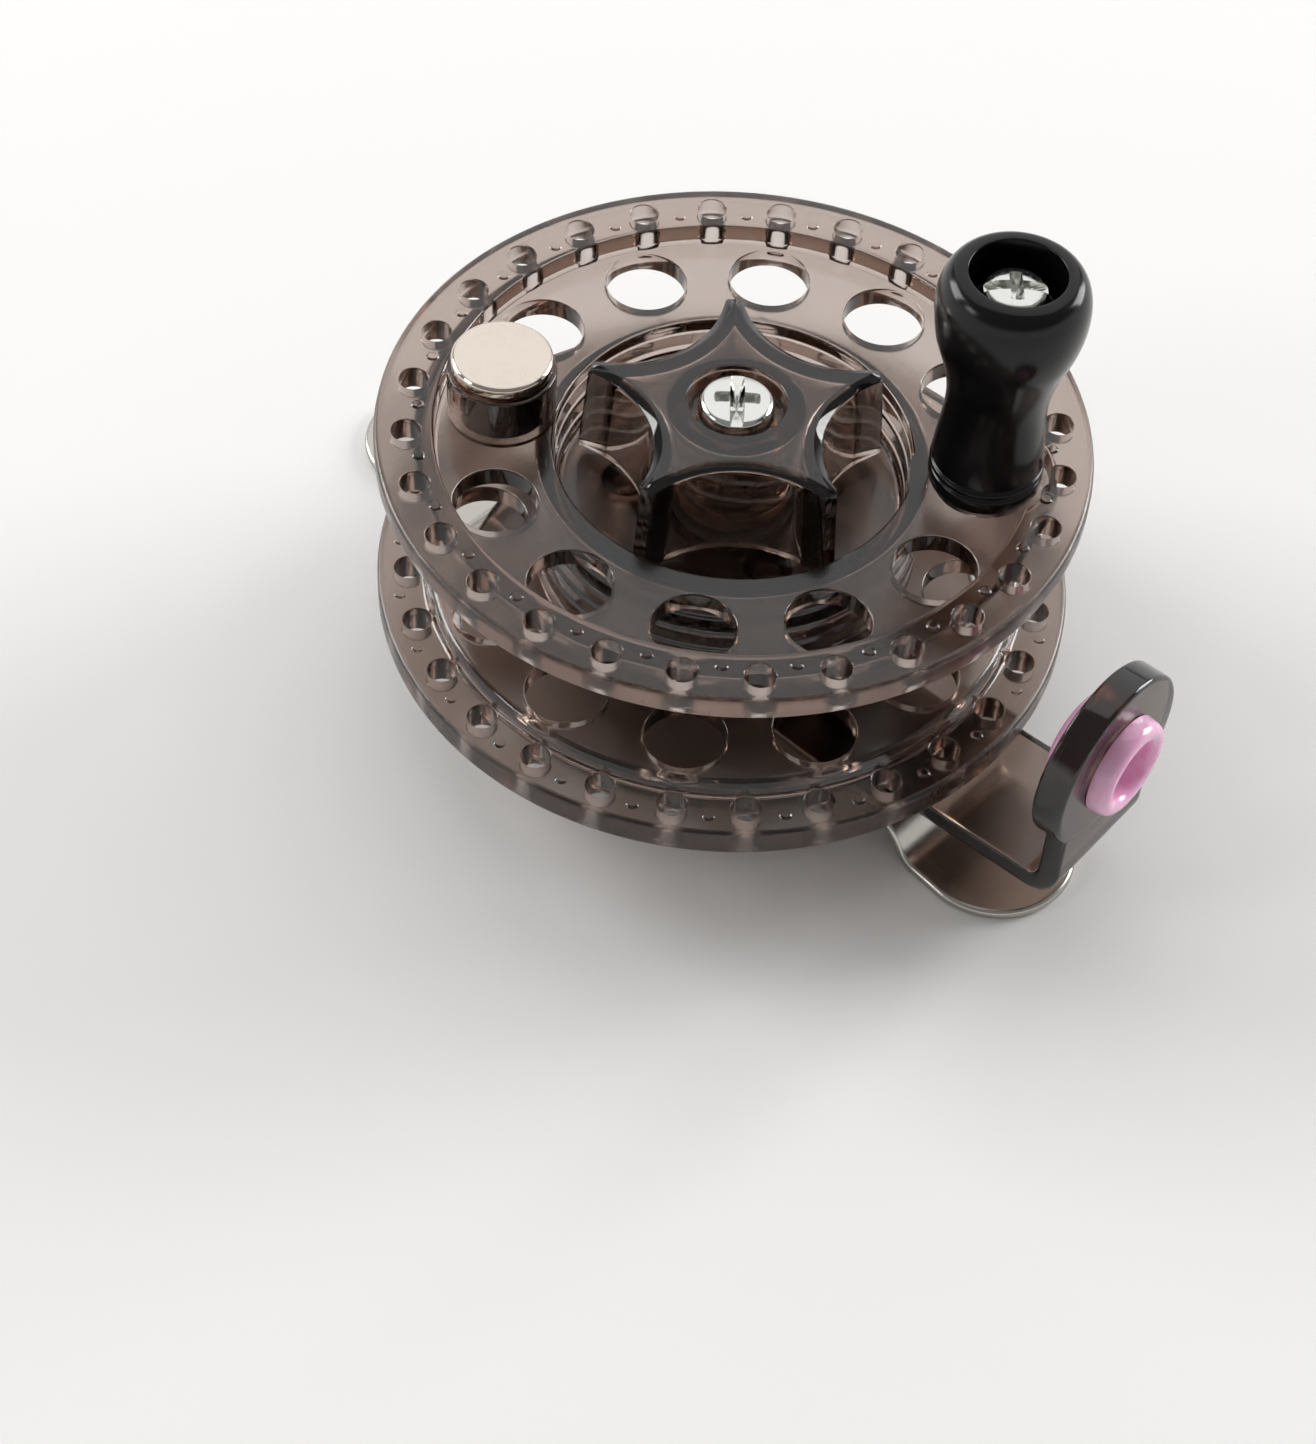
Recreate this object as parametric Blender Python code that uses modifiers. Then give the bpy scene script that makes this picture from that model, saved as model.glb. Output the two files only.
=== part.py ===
"""Small side-mount fly reel with a wide skeleton spool, built at its real size.

Units are metres and +Z is up. The spool's axis is the Z axis, the reel lies on the
two pads of its rod foot at Z = 0, and the line guide points along +X, towards the
rod's tip. Every physical piece is its own object. Each body that moves hangs from
an empty that stands on its joint's axis.
"""
import math

import bmesh
import bpy
from mathutils import Matrix, Vector

# Clearances and overruns
GAP = 0.0003                     # between neighbouring solids
OVERRUN = 0.0010                 # a cutter runs this far past what it cuts
WELD = 0.00001                   # points of a turned piece closer than this are one

# Facet counts
ROUND_LARGE = 56
ROUND_MEDIUM = 28
ROUND_HIDDEN = 20
ROUND_SMALL = 14
ROUND_TINY = 10
RIM_HOLE_SIDES = 8
WEB_HOLE_SIDES = 16

# Screw heads
SCREW_HEAD_SHARES = ((0.0, 1.0), (0.62, 0.90), (0.92, 0.65), (1.0, 0.38))
RECESS_WIDTH_SHARE = 0.14        # of the head's radius
RECESS_LONG_SHARE = 0.72
RECESS_SHORT_SHARE = 0.55
RECESS_DEPTH_SHARE = 0.55        # of the head's height
RECESS_STEP_SHARE = 0.8          # the short slot is this much shallower

# Rod foot: one strip of stainless steel with two pads and a raised bridge
FOOT_THICKNESS = 0.0010
FOOT_RISE = 0.0033               # underside of the bridge above the pads' underside
FOOT_TURN = math.radians(-3.7)   # the strip stands a little askew to the guide arm
FOOT_PAD_RADIUS = 0.00703
FOOT_NECK_HALF_WIDTH = 0.0066
FOOT_FRONT_END = 0.0395
FOOT_REAR_END = 0.0427
FOOT_FRONT_RAMP = (0.0253, 0.0277)   # where the bridge bends down, where the pad starts
FOOT_REAR_RAMP = (0.0224, 0.0248)
FOOT_END_STEPS = 12

# Back plate with its guide arm, moulded in one
PLATE_RADIUS = 0.0230
PLATE_THICKNESS = 0.0020
ARM_HALF_WIDTH = 0.0062
ARM_REACH = 0.0408               # outer face of the upright
ARM_BEND_RADIUS = 0.0024
ARM_BEND_STEPS = 5
HEAD_RADIUS = 0.0080
HEAD_THICKNESS = 0.0028
GUIDE_HEIGHT = 0.0175            # centre of the line guide above the pads

# Line guide ring
RING_BORE_RADIUS = 0.0028
RING_BODY_RADIUS = 0.0036
RING_FLANGE_RADIUS = 0.0044
RING_FLANGE_THICKNESS = 0.0015
RING_ROUNDING_SHARE = 0.45       # of the flange's thickness

# Spool: two moulded halves
FLANGE_RADIUS = 0.0300
# Shares of the flange's radius, each measured on a flange of radius 30
RIM_INNER_SHARE = 25.0 / 30.0
RIM_HOLE_CIRCLE_SHARE = 27.3 / 30.0
WEB_HOLE_CIRCLE_SHARE = 21.0 / 30.0
WEB_HOLE_SHARE = 3.5 / 30.0
DRUM_SHARE = 16.4 / 30.0
DRUM_BORE_SHARE = 15.0 / 30.0
WELL_SHARE = 15.1 / 30.0
WELL_FLOOR_SHARE = 14.7 / 30.0
WEIGHT_CIRCLE_SHARE = 19.75 / 30.0
KNOB_TIP_REACH_SHARE = 12.95 / 30.0
KNOB_SIDE_SHARE = 7.7 / 30.0
RIM_CLEARANCE = 0.0021           # from the back plate to the rear rim
REAR_RIM_THICKNESS = 0.00265
RIM_GAP = 0.01445                # between the two rims
FRONT_RIM_THICKNESS = 0.0022
RIM_INNER_RADIUS = FLANGE_RADIUS * RIM_INNER_SHARE
RIM_EDGE_ROUNDING = 0.0003
FRONT_STEP_WALL = 0.0012         # wall that joins the front rim to its web
REAR_STEP_WALL = 0.0006
WEB_STEP_DRAFT = 0.0003
WEB_THICKNESS = 0.0018
FRONT_WEB_DROP = 0.0020          # web below the front rim's face
REAR_WEB_DROP = 0.0022           # web above the rear rim's face
RIM_HOLE_COUNT = 28
RIM_HOLE_CIRCLE = FLANGE_RADIUS * RIM_HOLE_CIRCLE_SHARE
RIM_HOLE_RADIUS = 0.00125
RIM_HOLE_PHASE = math.radians(120.5)
WEB_PLACE_COUNT = 12
WEB_HOLE_CIRCLE = FLANGE_RADIUS * WEB_HOLE_CIRCLE_SHARE
WEB_HOLE_RADIUS = FLANGE_RADIUS * WEB_HOLE_SHARE
WEB_HOLE_PHASE = math.radians(30.5)
WEIGHT_PLACE = 6                 # the handle takes place 0, the counterweight place 6
DRUM_RADIUS = FLANGE_RADIUS * DRUM_SHARE
DRUM_BORE_RADIUS = FLANGE_RADIUS * DRUM_BORE_SHARE
DRUM_GROOVES = 5
DRUM_GROOVE_PITCH = 0.0019
DRUM_GROOVE_DEPTH = 0.00025
DRUM_GROOVE_HALF_WIDTH = 0.0003
WELL_RADIUS = FLANGE_RADIUS * WELL_SHARE
WELL_FLOOR_RADIUS = FLANGE_RADIUS * WELL_FLOOR_SHARE
WELL_DEPTH = 0.0052              # below the front web
FLOOR_THICKNESS = 0.0016
SPIGOT_WALL = 0.0014
SPIGOT_HEIGHT = 0.0028
HUB_RADIUS = 0.0062
HUB_LIP = 0.0004
FLOOR_HOLE_RADIUS = 0.0034
REAR_LIP_RADIUS = 0.0039
REAR_BOSS_DROP = 0.0021          # hub boss below the rear web

# Bearings
BEARING_OUTER_RADIUS = 0.0045
BEARING_BORE_RADIUS = 0.0027
BEARING_WIDTH = 0.0030
BEARING_INNER_WALL = 0.0005
BEARING_OUTER_WALL = 0.0010

# Screws that join the spool's halves, and the click gear that they clamp
SPOOL_SCREW_COUNT = 3
SPOOL_SCREW_CIRCLE = 0.0089
SPOOL_SCREW_PHASE = math.radians(90.5)
SPOOL_SCREW_RADIUS = 0.0009
SPOOL_SCREW_LENGTH = 0.0085
SPOOL_SCREW_HEAD_RADIUS = 0.0016
SPOOL_SCREW_HEAD_HEIGHT = 0.0008
SPOOL_BOSS_RADIUS = 0.0021
GEAR_TEETH = 24
GEAR_TIP_RADIUS = 0.0120
GEAR_ROOT_RADIUS = 0.0110
GEAR_THICKNESS = 0.0017
GEAR_TOOTH_SHARE = 0.30          # of the pitch, the tip's width

# Spindle and what holds it
SPINDLE_RADIUS = 0.0024
SPINDLE_FLANGE_RADIUS = 0.0055
SPINDLE_FLANGE_THICKNESS = 0.0011
SPINDLE_SHOULDER_RADIUS = 0.0033
SPINDLE_TAIL = 0.0003            # the threaded end stands past its nut
SPINDLE_NUT_FLATS = 0.0080
SPINDLE_NUT_HEIGHT = 0.0021
CIRCLIP_THICKNESS = 0.0006
CIRCLIP_RADIUS = 0.0031
CIRCLIP_OPENING = math.radians(50.0)

# Foot screws
FOOT_SCREW_PLACE = 0.0160
FOOT_SCREW_RADIUS = 0.0011
FOOT_SCREW_HEAD_RADIUS = 0.0025
FOOT_SCREW_HEAD_HEIGHT = 0.0013
FOOT_SCREW_LENGTH = 0.0054
FOOT_BOSS_RADIUS = 0.0028
FOOT_BOSS_HEIGHT = 0.0030

# Drag stack in the well
FELT_THICKNESS = 0.0006
FELT_RADIUS = 0.0062
FELT_BORE_RADIUS = 0.0038
PRESSURE_THICKNESS = 0.0006
PRESSURE_RADIUS = 0.0058
SPRING_SPACE = 0.0028            # between the pressure washer and the insert nut
SPRING_COIL_RADIUS = 0.0036
SPRING_WIRE_RADIUS = 0.00022
SPRING_TURNS = 2
SPRING_POINTS_PER_TURN = 10
INSERT_NUT_FLATS = 0.0070
INSERT_NUT_HEIGHT = 0.0019

# Star knob
KNOB_STAND = 0.0031              # top face above the front rim's face
KNOB_HEIGHT = 0.0091
KNOB_TIPS = 5
KNOB_TIP_RADIUS = FLANGE_RADIUS * KNOB_TIP_REACH_SHARE   # where two sides would meet
KNOB_SIDE_RADIUS = FLANGE_RADIUS * KNOB_SIDE_SHARE
KNOB_DRAFT_SHARE = 1.055         # the open end is this much wider than the top
KNOB_PHASE = math.radians(58.2)
KNOB_BEVEL = 0.0006
KNOB_WALL = 0.0014
KNOB_SIDE_STEPS = 9
KNOB_TIP_SHARE = 0.02            # of a side, cut off at each tip
KNOB_BOSS_RADIUS = 0.0057
KNOB_BOSS_RISE = 0.0013          # boss ends this far above the open end
KNOB_COUNTERBORE_RADIUS = 0.00415
KNOB_COUNTERBORE_DEPTH = 0.0020
CENTRE_SCREW_HEAD_RADIUS = 0.0031
CENTRE_SCREW_HEAD_HEIGHT = 0.0021
CENTRE_SCREW_RADIUS = 0.0013
CENTRE_SCREW_LENGTH = 0.0044
CENTRE_RECESS_TURN = math.radians(128.0)

# Handle
HANDLE_STAND = 0.0003            # boss top above the front web
HANDLE_BOSS_RADIUS = 0.0042
HANDLE_NOTCH_RADIUS = 0.0055     # room for the handle's base in the front rim
HANDLE_NOTCH_WALL = 0.0008
HANDLE_HEIGHT = 0.0226
HANDLE_RADIUS = 0.00632          # of the bulb
HANDLE_MOUTH_RADIUS = 0.0040
HANDLE_CUP_DEPTH = 0.0042
HANDLE_BORE_RADIUS = 0.00235
HANDLE_SLEEVE_RADIUS = 0.00205
HANDLE_SCREW_RADIUS = 0.0013
HANDLE_SCREW_HEAD_RADIUS = 0.00265
HANDLE_SCREW_HEAD_HEIGHT = 0.0019
HANDLE_OUTLINE_SHARES = (        # (share of the height, share of the bulb's radius), top down
    (1.000, 0.700), (0.996, 0.770), (0.985, 0.822), (0.965, 0.875), (0.935, 0.925),
    (0.895, 0.968), (0.850, 0.993), (0.805, 1.000), (0.755, 0.988), (0.700, 0.945),
    (0.640, 0.870), (0.580, 0.785), (0.520, 0.705), (0.460, 0.669), (0.380, 0.672),
    (0.300, 0.695), (0.220, 0.735), (0.150, 0.772), (0.130, 0.772), (0.122, 0.745),
    (0.112, 0.745), (0.104, 0.775), (0.090, 0.775), (0.082, 0.745), (0.072, 0.745),
    (0.064, 0.772), (0.027, 0.764), (0.010, 0.745), (0.000, 0.709),
)

# Counterweight and its cup
WEIGHT_CIRCLE = FLANGE_RADIUS * WEIGHT_CIRCLE_SHARE
CUP_RADIUS = 0.0046
CUP_BORE_RADIUS = 0.00385
CUP_HEIGHT = 0.0049              # above the front web
WEIGHT_HEAD_RADIUS = 0.00428
WEIGHT_HEAD_HEIGHT = 0.00105
WEIGHT_EDGE_ROUNDING = 0.00035

# Click: a slider in the back plate carries a sprung pawl to the gear
SLIDER_TRAVEL = 0.0016
SLIDER_THICKNESS = 0.0008
SLIDER_HALF_WIDTH = 0.0035
SLIDER_LENGTH = 0.0075
SLIDER_START = 0.0147            # inner end of the slider, from the spool's axis
RAIL_WIDTH = 0.0008
TAB_HALF_WIDTH = 0.0015
TAB_LENGTH = 0.0018
TAB_PLACE = 0.0172               # inner end of the tab
TAB_DROP = 0.0016                # tab below the back plate
PAWL_PIVOT = 0.0172
PAWL_POST_RADIUS = 0.0007
PAWL_THICKNESS = 0.0018
PAWL_HALF_WIDTH = 0.0017
PAWL_HEEL = 0.0012               # from the pivot to the start of the tail
PAWL_TAIL_HALF_WIDTH = 0.00045
PAWL_TAIL_END = 0.0026           # from the pivot
PAWL_TIP_SHARE = 0.12            # of the pawl's half width, the tip's flat
PAWL_SPRING_RADIUS = 0.0002
PAWL_SPRING_POST = 0.0035        # from the pivot to the post that the spring bends round
PAWL_SPRING_POST_RADIUS = 0.0006
PAWL_SPRING_STEPS = 6

# Heights that follow from the sizes above
PLATE_BOTTOM = FOOT_RISE + FOOT_THICKNESS + GAP
PLATE_TOP = PLATE_BOTTOM + PLATE_THICKNESS
REAR_RIM_BOTTOM = PLATE_TOP + RIM_CLEARANCE
REAR_RIM_TOP = REAR_RIM_BOTTOM + REAR_RIM_THICKNESS
REAR_WEB_BOTTOM = REAR_RIM_BOTTOM + REAR_WEB_DROP
REAR_WEB_TOP = REAR_WEB_BOTTOM + WEB_THICKNESS
FRONT_RIM_BOTTOM = REAR_RIM_TOP + RIM_GAP
FRONT_RIM_TOP = FRONT_RIM_BOTTOM + FRONT_RIM_THICKNESS
FRONT_WEB_TOP = FRONT_RIM_TOP - FRONT_WEB_DROP
FRONT_WEB_BOTTOM = FRONT_WEB_TOP - WEB_THICKNESS
FLOOR_TOP = FRONT_WEB_TOP - WELL_DEPTH
FLOOR_BOTTOM = FLOOR_TOP - FLOOR_THICKNESS
BEARING_SEAT = BEARING_OUTER_RADIUS + GAP
FRONT_BEARING_BOTTOM = FLOOR_BOTTOM - GAP - BEARING_WIDTH
REAR_BEARING_BOTTOM = REAR_WEB_BOTTOM + GAP
REAR_BEARING_TOP = REAR_BEARING_BOTTOM + BEARING_WIDTH
GEAR_TOP = REAR_WEB_BOTTOM - GAP
GEAR_BOTTOM = GEAR_TOP - GEAR_THICKNESS
KNOB_TOP = FRONT_RIM_TOP + KNOB_STAND
KNOB_BOTTOM = KNOB_TOP - KNOB_HEIGHT
FELT_BOTTOM = FLOOR_TOP + GAP
PRESSURE_BOTTOM = FELT_BOTTOM + FELT_THICKNESS + GAP
PRESSURE_TOP = PRESSURE_BOTTOM + PRESSURE_THICKNESS
INSERT_NUT_BOTTOM = PRESSURE_TOP + GAP + SPRING_SPACE
INSERT_NUT_TOP = INSERT_NUT_BOTTOM + INSERT_NUT_HEIGHT
COUNTERBORE_FLOOR = KNOB_TOP - KNOB_COUNTERBORE_DEPTH
CENTRE_HEAD_BOTTOM = COUNTERBORE_FLOOR + GAP
SPINDLE_TOP = COUNTERBORE_FLOOR - GAP
HANDLE_BOSS_TOP = FRONT_WEB_TOP + HANDLE_STAND
HANDLE_BOTTOM = HANDLE_BOSS_TOP + GAP
HANDLE_TOP = HANDLE_BOTTOM + HANDLE_HEIGHT
HANDLE_CUP_FLOOR = HANDLE_TOP - HANDLE_CUP_DEPTH
CUP_TOP = FRONT_WEB_TOP + CUP_HEIGHT
SLIDER_BOTTOM = PLATE_TOP + GAP
SLIDER_TOP = SLIDER_BOTTOM + SLIDER_THICKNESS
PAWL_BOTTOM = SLIDER_TOP + GAP
PAWL_TIP = GEAR_TIP_RADIUS + GAP + SLIDER_TRAVEL


def clear_scene():
    """Remove every object, so that the script builds into an empty scene."""
    for obj in list(bpy.data.objects):
        bpy.data.objects.remove(obj, do_unlink=True)


def make_collection(name):
    """Return a new collection that is linked to the scene."""
    collection = bpy.data.collections.new(name)
    bpy.context.scene.collection.children.link(collection)
    return collection


def make_material(name, colour, roughness, metallic=0.0, alpha=1.0):
    """Return a Principled BSDF material."""
    material = bpy.data.materials.new(name)
    material.use_nodes = True
    shader = material.node_tree.nodes["Principled BSDF"]
    shader.inputs["Base Color"].default_value = (*colour, 1.0)
    shader.inputs["Roughness"].default_value = roughness
    shader.inputs["Metallic"].default_value = metallic
    shader.inputs["Alpha"].default_value = alpha
    return material


def make_empty(name, collection, place, parent=None):
    """Return an empty at a joint's axis."""
    empty = bpy.data.objects.new(name, None)
    collection.objects.link(empty)
    empty.parent = parent
    empty.location = place
    return empty


def make_object(name, mesh, collection, parent=None, material=None):
    """Return an object for a mesh, under its parent and with its material."""
    obj = bpy.data.objects.new(name, mesh)
    collection.objects.link(obj)
    obj.parent = parent
    if material is not None:
        mesh.materials.append(material)
    return obj


def as_cutter(obj):
    """Mark an object as a cutter."""
    obj.hide_render = True
    obj.display_type = 'WIRE'
    return obj


def place_on_circle(radius, angle, height=0.0):
    """Return the point at a radius and an angle about Z."""
    return Vector((radius * math.cos(angle), radius * math.sin(angle), height))


def combine(obj, other, operation):
    """Add a Boolean modifier of the exact solver."""
    modifier = obj.modifiers.new(operation.title(), 'BOOLEAN')
    modifier.operation = operation
    modifier.solver = 'EXACT'
    modifier.object = other
    return obj


def turned_mesh(name, profile, closed):
    """Return the mesh of a profile of (radius, height) points in the XZ plane."""
    count = len(profile)
    edges = [(i, i + 1) for i in range(count - 1)]
    if closed:
        edges.append((count - 1, 0))
    mesh = bpy.data.meshes.new(name)
    mesh.from_pydata([(radius, 0.0, height) for radius, height in profile], edges, [])
    return mesh


def turned(name, profile, steps, collection, parent=None, material=None, closed=True):
    """Turn a profile about Z. It runs down its outer side; an open one ends on the axis."""
    obj = make_object(name, turned_mesh(name, profile, closed), collection, parent, material)
    screw = obj.modifiers.new("Turn", 'SCREW')
    screw.axis = 'Z'
    screw.angle = math.tau
    screw.steps = steps
    screw.render_steps = steps
    screw.use_smooth_shade = True
    screw.use_merge_vertices = True
    screw.merge_threshold = WELD
    return obj


def tube_profile(inner, outer, low, high):
    """Return the profile of a plain ring."""
    return [(inner, high), (outer, high), (outer, low), (inner, low)]


def add_cylinder(bm, radius, low, high, sides, centre=(0.0, 0.0), turn=0.0):
    """Add an upright cylinder to a bmesh."""
    place = Matrix.Translation((centre[0], centre[1], (low + high) / 2))
    bmesh.ops.create_cone(bm, cap_ends=True, segments=sides, radius1=radius, radius2=radius,
                          depth=high - low, matrix=place @ Matrix.Rotation(turn, 4, 'Z'))


def add_block(bm, low_corner, high_corner):
    """Add a box between two corners to a bmesh."""
    low, high = Vector(low_corner), Vector(high_corner)
    size = Matrix.Diagonal((*(high - low), 1.0))
    bmesh.ops.create_cube(bm, size=1.0, matrix=Matrix.Translation((low + high) / 2) @ size)


def finish_bmesh(bm, name):
    """Write a bmesh to a new mesh."""
    mesh = bpy.data.meshes.new(name)
    bm.to_mesh(mesh)
    bm.free()
    return mesh


def cylinders(name, rods, sides, collection):
    """Return one object of upright cylinders, each (radius, low, high, centre)."""
    bm = bmesh.new()
    for radius, low, high, centre in rods:
        add_cylinder(bm, radius, low, high, sides, centre)
    return as_cutter(make_object(name, finish_bmesh(bm, name), collection))


def prism_mesh(name, outline, low, high):
    """Extrude a closed outline of (x, y) points from one height to another."""
    bm = bmesh.new()
    face = bm.faces.new([bm.verts.new((x, y, low)) for x, y in outline])
    grown = bmesh.ops.extrude_face_region(bm, geom=[face])["geom"]
    moved = [item for item in grown if isinstance(item, bmesh.types.BMVert)]
    bmesh.ops.translate(bm, verts=moved, vec=(0.0, 0.0, high - low))
    bmesh.ops.recalc_face_normals(bm, faces=bm.faces)
    return finish_bmesh(bm, name)


def side_prism_mesh(name, outline, half_width):
    """Extrude a closed outline of (x, z) points along Y, centred on Y = 0."""
    mesh = prism_mesh(name, outline, -half_width, half_width)
    mesh.transform(Matrix.Rotation(math.radians(90.0), 4, 'X'))
    return mesh


def hexagon(flats, angle=0.0):
    """Return a hexagon's corners from its width across flats."""
    corner = flats / 2 / math.cos(math.pi / 6)
    return [tuple(place_on_circle(corner, angle + k * math.tau / 6)[:2]) for k in range(6)]


def arc(centre, radius, start, end, steps):
    """Return points along an arc about a centre, both ends included."""
    angles = [start + (end - start) * k / steps for k in range(steps + 1)]
    return [(centre[0] + radius * math.cos(a), centre[1] + radius * math.sin(a)) for a in angles]


def screw_profile(head_radius, head_low, head_high, shank_radius, shank_low):
    """Return the profile of a domed pan-head screw that points down."""
    height = head_high - head_low
    crown = [(head_radius * across, head_low + height * up) for across, up in SCREW_HEAD_SHARES]
    return crown + [(head_radius, head_low), (shank_radius, head_low), (shank_radius, shank_low),
                    (0.0, shank_low)]


def flipped(profile, pivot):
    """Turn a profile upside down about a height, with its order kept outward."""
    return [(radius, 2 * pivot - height) for radius, height in reversed(profile)]


def recess_slot(name, radius, length_share, depth, top, turn, collection):
    """Return a cutter for one slot across a screw's head."""
    half_long, half_wide = radius * length_share, radius * RECESS_WIDTH_SHARE
    bm = bmesh.new()
    add_block(bm, (-half_long, -half_wide, top - depth), (half_long, half_wide, top + OVERRUN))
    mesh = finish_bmesh(bm, name)
    mesh.transform(Matrix.Rotation(turn, 4, 'Z'))
    return as_cutter(make_object(name, mesh, collection))


def cross_recess(name, radius, height, top, collection, turn=0.0):
    """Return the cutters for the long and the short slot of a screw's cross recess."""
    depth = height * RECESS_DEPTH_SHARE
    across = turn + math.radians(90.0)
    return (recess_slot(name + "_long", radius, RECESS_LONG_SHARE, depth, top, turn, collection),
            recess_slot(name + "_short", radius, RECESS_SHORT_SHARE, depth * RECESS_STEP_SHARE, top,
                        across, collection))


def web_places():
    """Return the angles of the large holes: every place but the handle's and the weight's."""
    places = [k for k in range(WEB_PLACE_COUNT) if k not in (0, WEIGHT_PLACE)]
    return [WEB_HOLE_PHASE + k * math.tau / WEB_PLACE_COUNT for k in places]


def handle_place():
    """Return the handle's centre on the spool."""
    return place_on_circle(WEB_HOLE_CIRCLE, WEB_HOLE_PHASE)


def weight_place():
    """Return the counterweight's centre on the spool."""
    angle = WEB_HOLE_PHASE + WEIGHT_PLACE * math.tau / WEB_PLACE_COUNT
    return place_on_circle(WEIGHT_CIRCLE, angle)


def spool_screw_places():
    """Return the centres of the screws that join the halves."""
    return [place_on_circle(SPOOL_SCREW_CIRCLE, SPOOL_SCREW_PHASE + k * math.tau / SPOOL_SCREW_COUNT)
            for k in range(SPOOL_SCREW_COUNT)]


def flange_holes(name, low, high, angles, cutters):
    """Cut a flange's small rim holes and its large web holes."""
    low, high = low - OVERRUN, high + OVERRUN
    rim_angles = [RIM_HOLE_PHASE + k * math.tau / RIM_HOLE_COUNT for k in range(RIM_HOLE_COUNT)]
    small = [(RIM_HOLE_RADIUS, low, high, place_on_circle(RIM_HOLE_CIRCLE, a)) for a in rim_angles]
    large = [(WEB_HOLE_RADIUS, low, high, place_on_circle(WEB_HOLE_CIRCLE, a)) for a in angles]
    return (cylinders(name + "_rim_holes", small, RIM_HOLE_SIDES, cutters),
            cylinders(name + "_web_holes", large, WEB_HOLE_SIDES, cutters))


def drum_profile():
    """Return the drum's outer side from top to bottom, with its shallow line grooves."""
    low = REAR_WEB_TOP + GAP
    middle = (FRONT_WEB_BOTTOM + low) / 2
    points = [(DRUM_RADIUS, FRONT_WEB_BOTTOM)]
    for number in range(DRUM_GROOVES):
        height = middle + ((DRUM_GROOVES - 1) / 2 - number) * DRUM_GROOVE_PITCH
        points += [(DRUM_RADIUS, height + DRUM_GROOVE_HALF_WIDTH),
                   (DRUM_RADIUS - DRUM_GROOVE_DEPTH, height),
                   (DRUM_RADIUS, height - DRUM_GROOVE_HALF_WIDTH)]
    return points + [(DRUM_RADIUS, low)]


def front_profile():
    """Return the front half: rim, web, drum, well floor and the front bearing's hub."""
    step = RIM_INNER_RADIUS + FRONT_STEP_WALL
    tube_bottom = FRONT_BEARING_BOTTOM - GAP
    return [
        (RIM_INNER_RADIUS, FRONT_RIM_TOP),
        (FLANGE_RADIUS - RIM_EDGE_ROUNDING, FRONT_RIM_TOP),
        (FLANGE_RADIUS, FRONT_RIM_TOP - RIM_EDGE_ROUNDING),
        (FLANGE_RADIUS, FRONT_RIM_BOTTOM + RIM_EDGE_ROUNDING),
        (FLANGE_RADIUS - RIM_EDGE_ROUNDING, FRONT_RIM_BOTTOM),
        (step + WEB_STEP_DRAFT, FRONT_RIM_BOTTOM),
        (step, FRONT_WEB_BOTTOM),
        *drum_profile(),
        (DRUM_BORE_RADIUS, REAR_WEB_TOP + GAP),
        (DRUM_BORE_RADIUS, FLOOR_BOTTOM),
        (HUB_RADIUS, FLOOR_BOTTOM),
        (HUB_RADIUS, tube_bottom),
        (BEARING_SEAT, tube_bottom),
        (BEARING_SEAT, FLOOR_BOTTOM),
        (FLOOR_HOLE_RADIUS, FLOOR_BOTTOM),
        (FLOOR_HOLE_RADIUS, FLOOR_TOP),
        (WELL_FLOOR_RADIUS, FLOOR_TOP),
        (WELL_RADIUS, FRONT_WEB_TOP),
        (RIM_INNER_RADIUS, FRONT_WEB_TOP),
    ]


def rear_profile():
    """Return the rear half: rim, web, the spigot in the drum and the rear bearing's hub."""
    step = RIM_INNER_RADIUS + REAR_STEP_WALL
    spigot = DRUM_BORE_RADIUS - GAP
    boss_bottom = REAR_WEB_BOTTOM - REAR_BOSS_DROP
    hub_top = REAR_BEARING_TOP + HUB_LIP
    return [
        (spigot - SPIGOT_WALL, REAR_WEB_TOP + SPIGOT_HEIGHT),
        (spigot, REAR_WEB_TOP + SPIGOT_HEIGHT),
        (spigot, REAR_WEB_TOP),
        (step, REAR_WEB_TOP),
        (step + WEB_STEP_DRAFT, REAR_RIM_TOP),
        (FLANGE_RADIUS - RIM_EDGE_ROUNDING, REAR_RIM_TOP),
        (FLANGE_RADIUS, REAR_RIM_TOP - RIM_EDGE_ROUNDING),
        (FLANGE_RADIUS, REAR_RIM_BOTTOM + RIM_EDGE_ROUNDING),
        (FLANGE_RADIUS - RIM_EDGE_ROUNDING, REAR_RIM_BOTTOM),
        (RIM_INNER_RADIUS, REAR_RIM_BOTTOM),
        (RIM_INNER_RADIUS, REAR_WEB_BOTTOM),
        (HUB_RADIUS, REAR_WEB_BOTTOM),
        (HUB_RADIUS, boss_bottom),
        (REAR_LIP_RADIUS, boss_bottom),
        (REAR_LIP_RADIUS, REAR_WEB_BOTTOM),
        (BEARING_SEAT, REAR_WEB_BOTTOM),
        (BEARING_SEAT, hub_top),
        (HUB_RADIUS, hub_top),
        (HUB_RADIUS, REAR_WEB_TOP),
        (spigot - SPIGOT_WALL, REAR_WEB_TOP),
    ]


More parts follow.
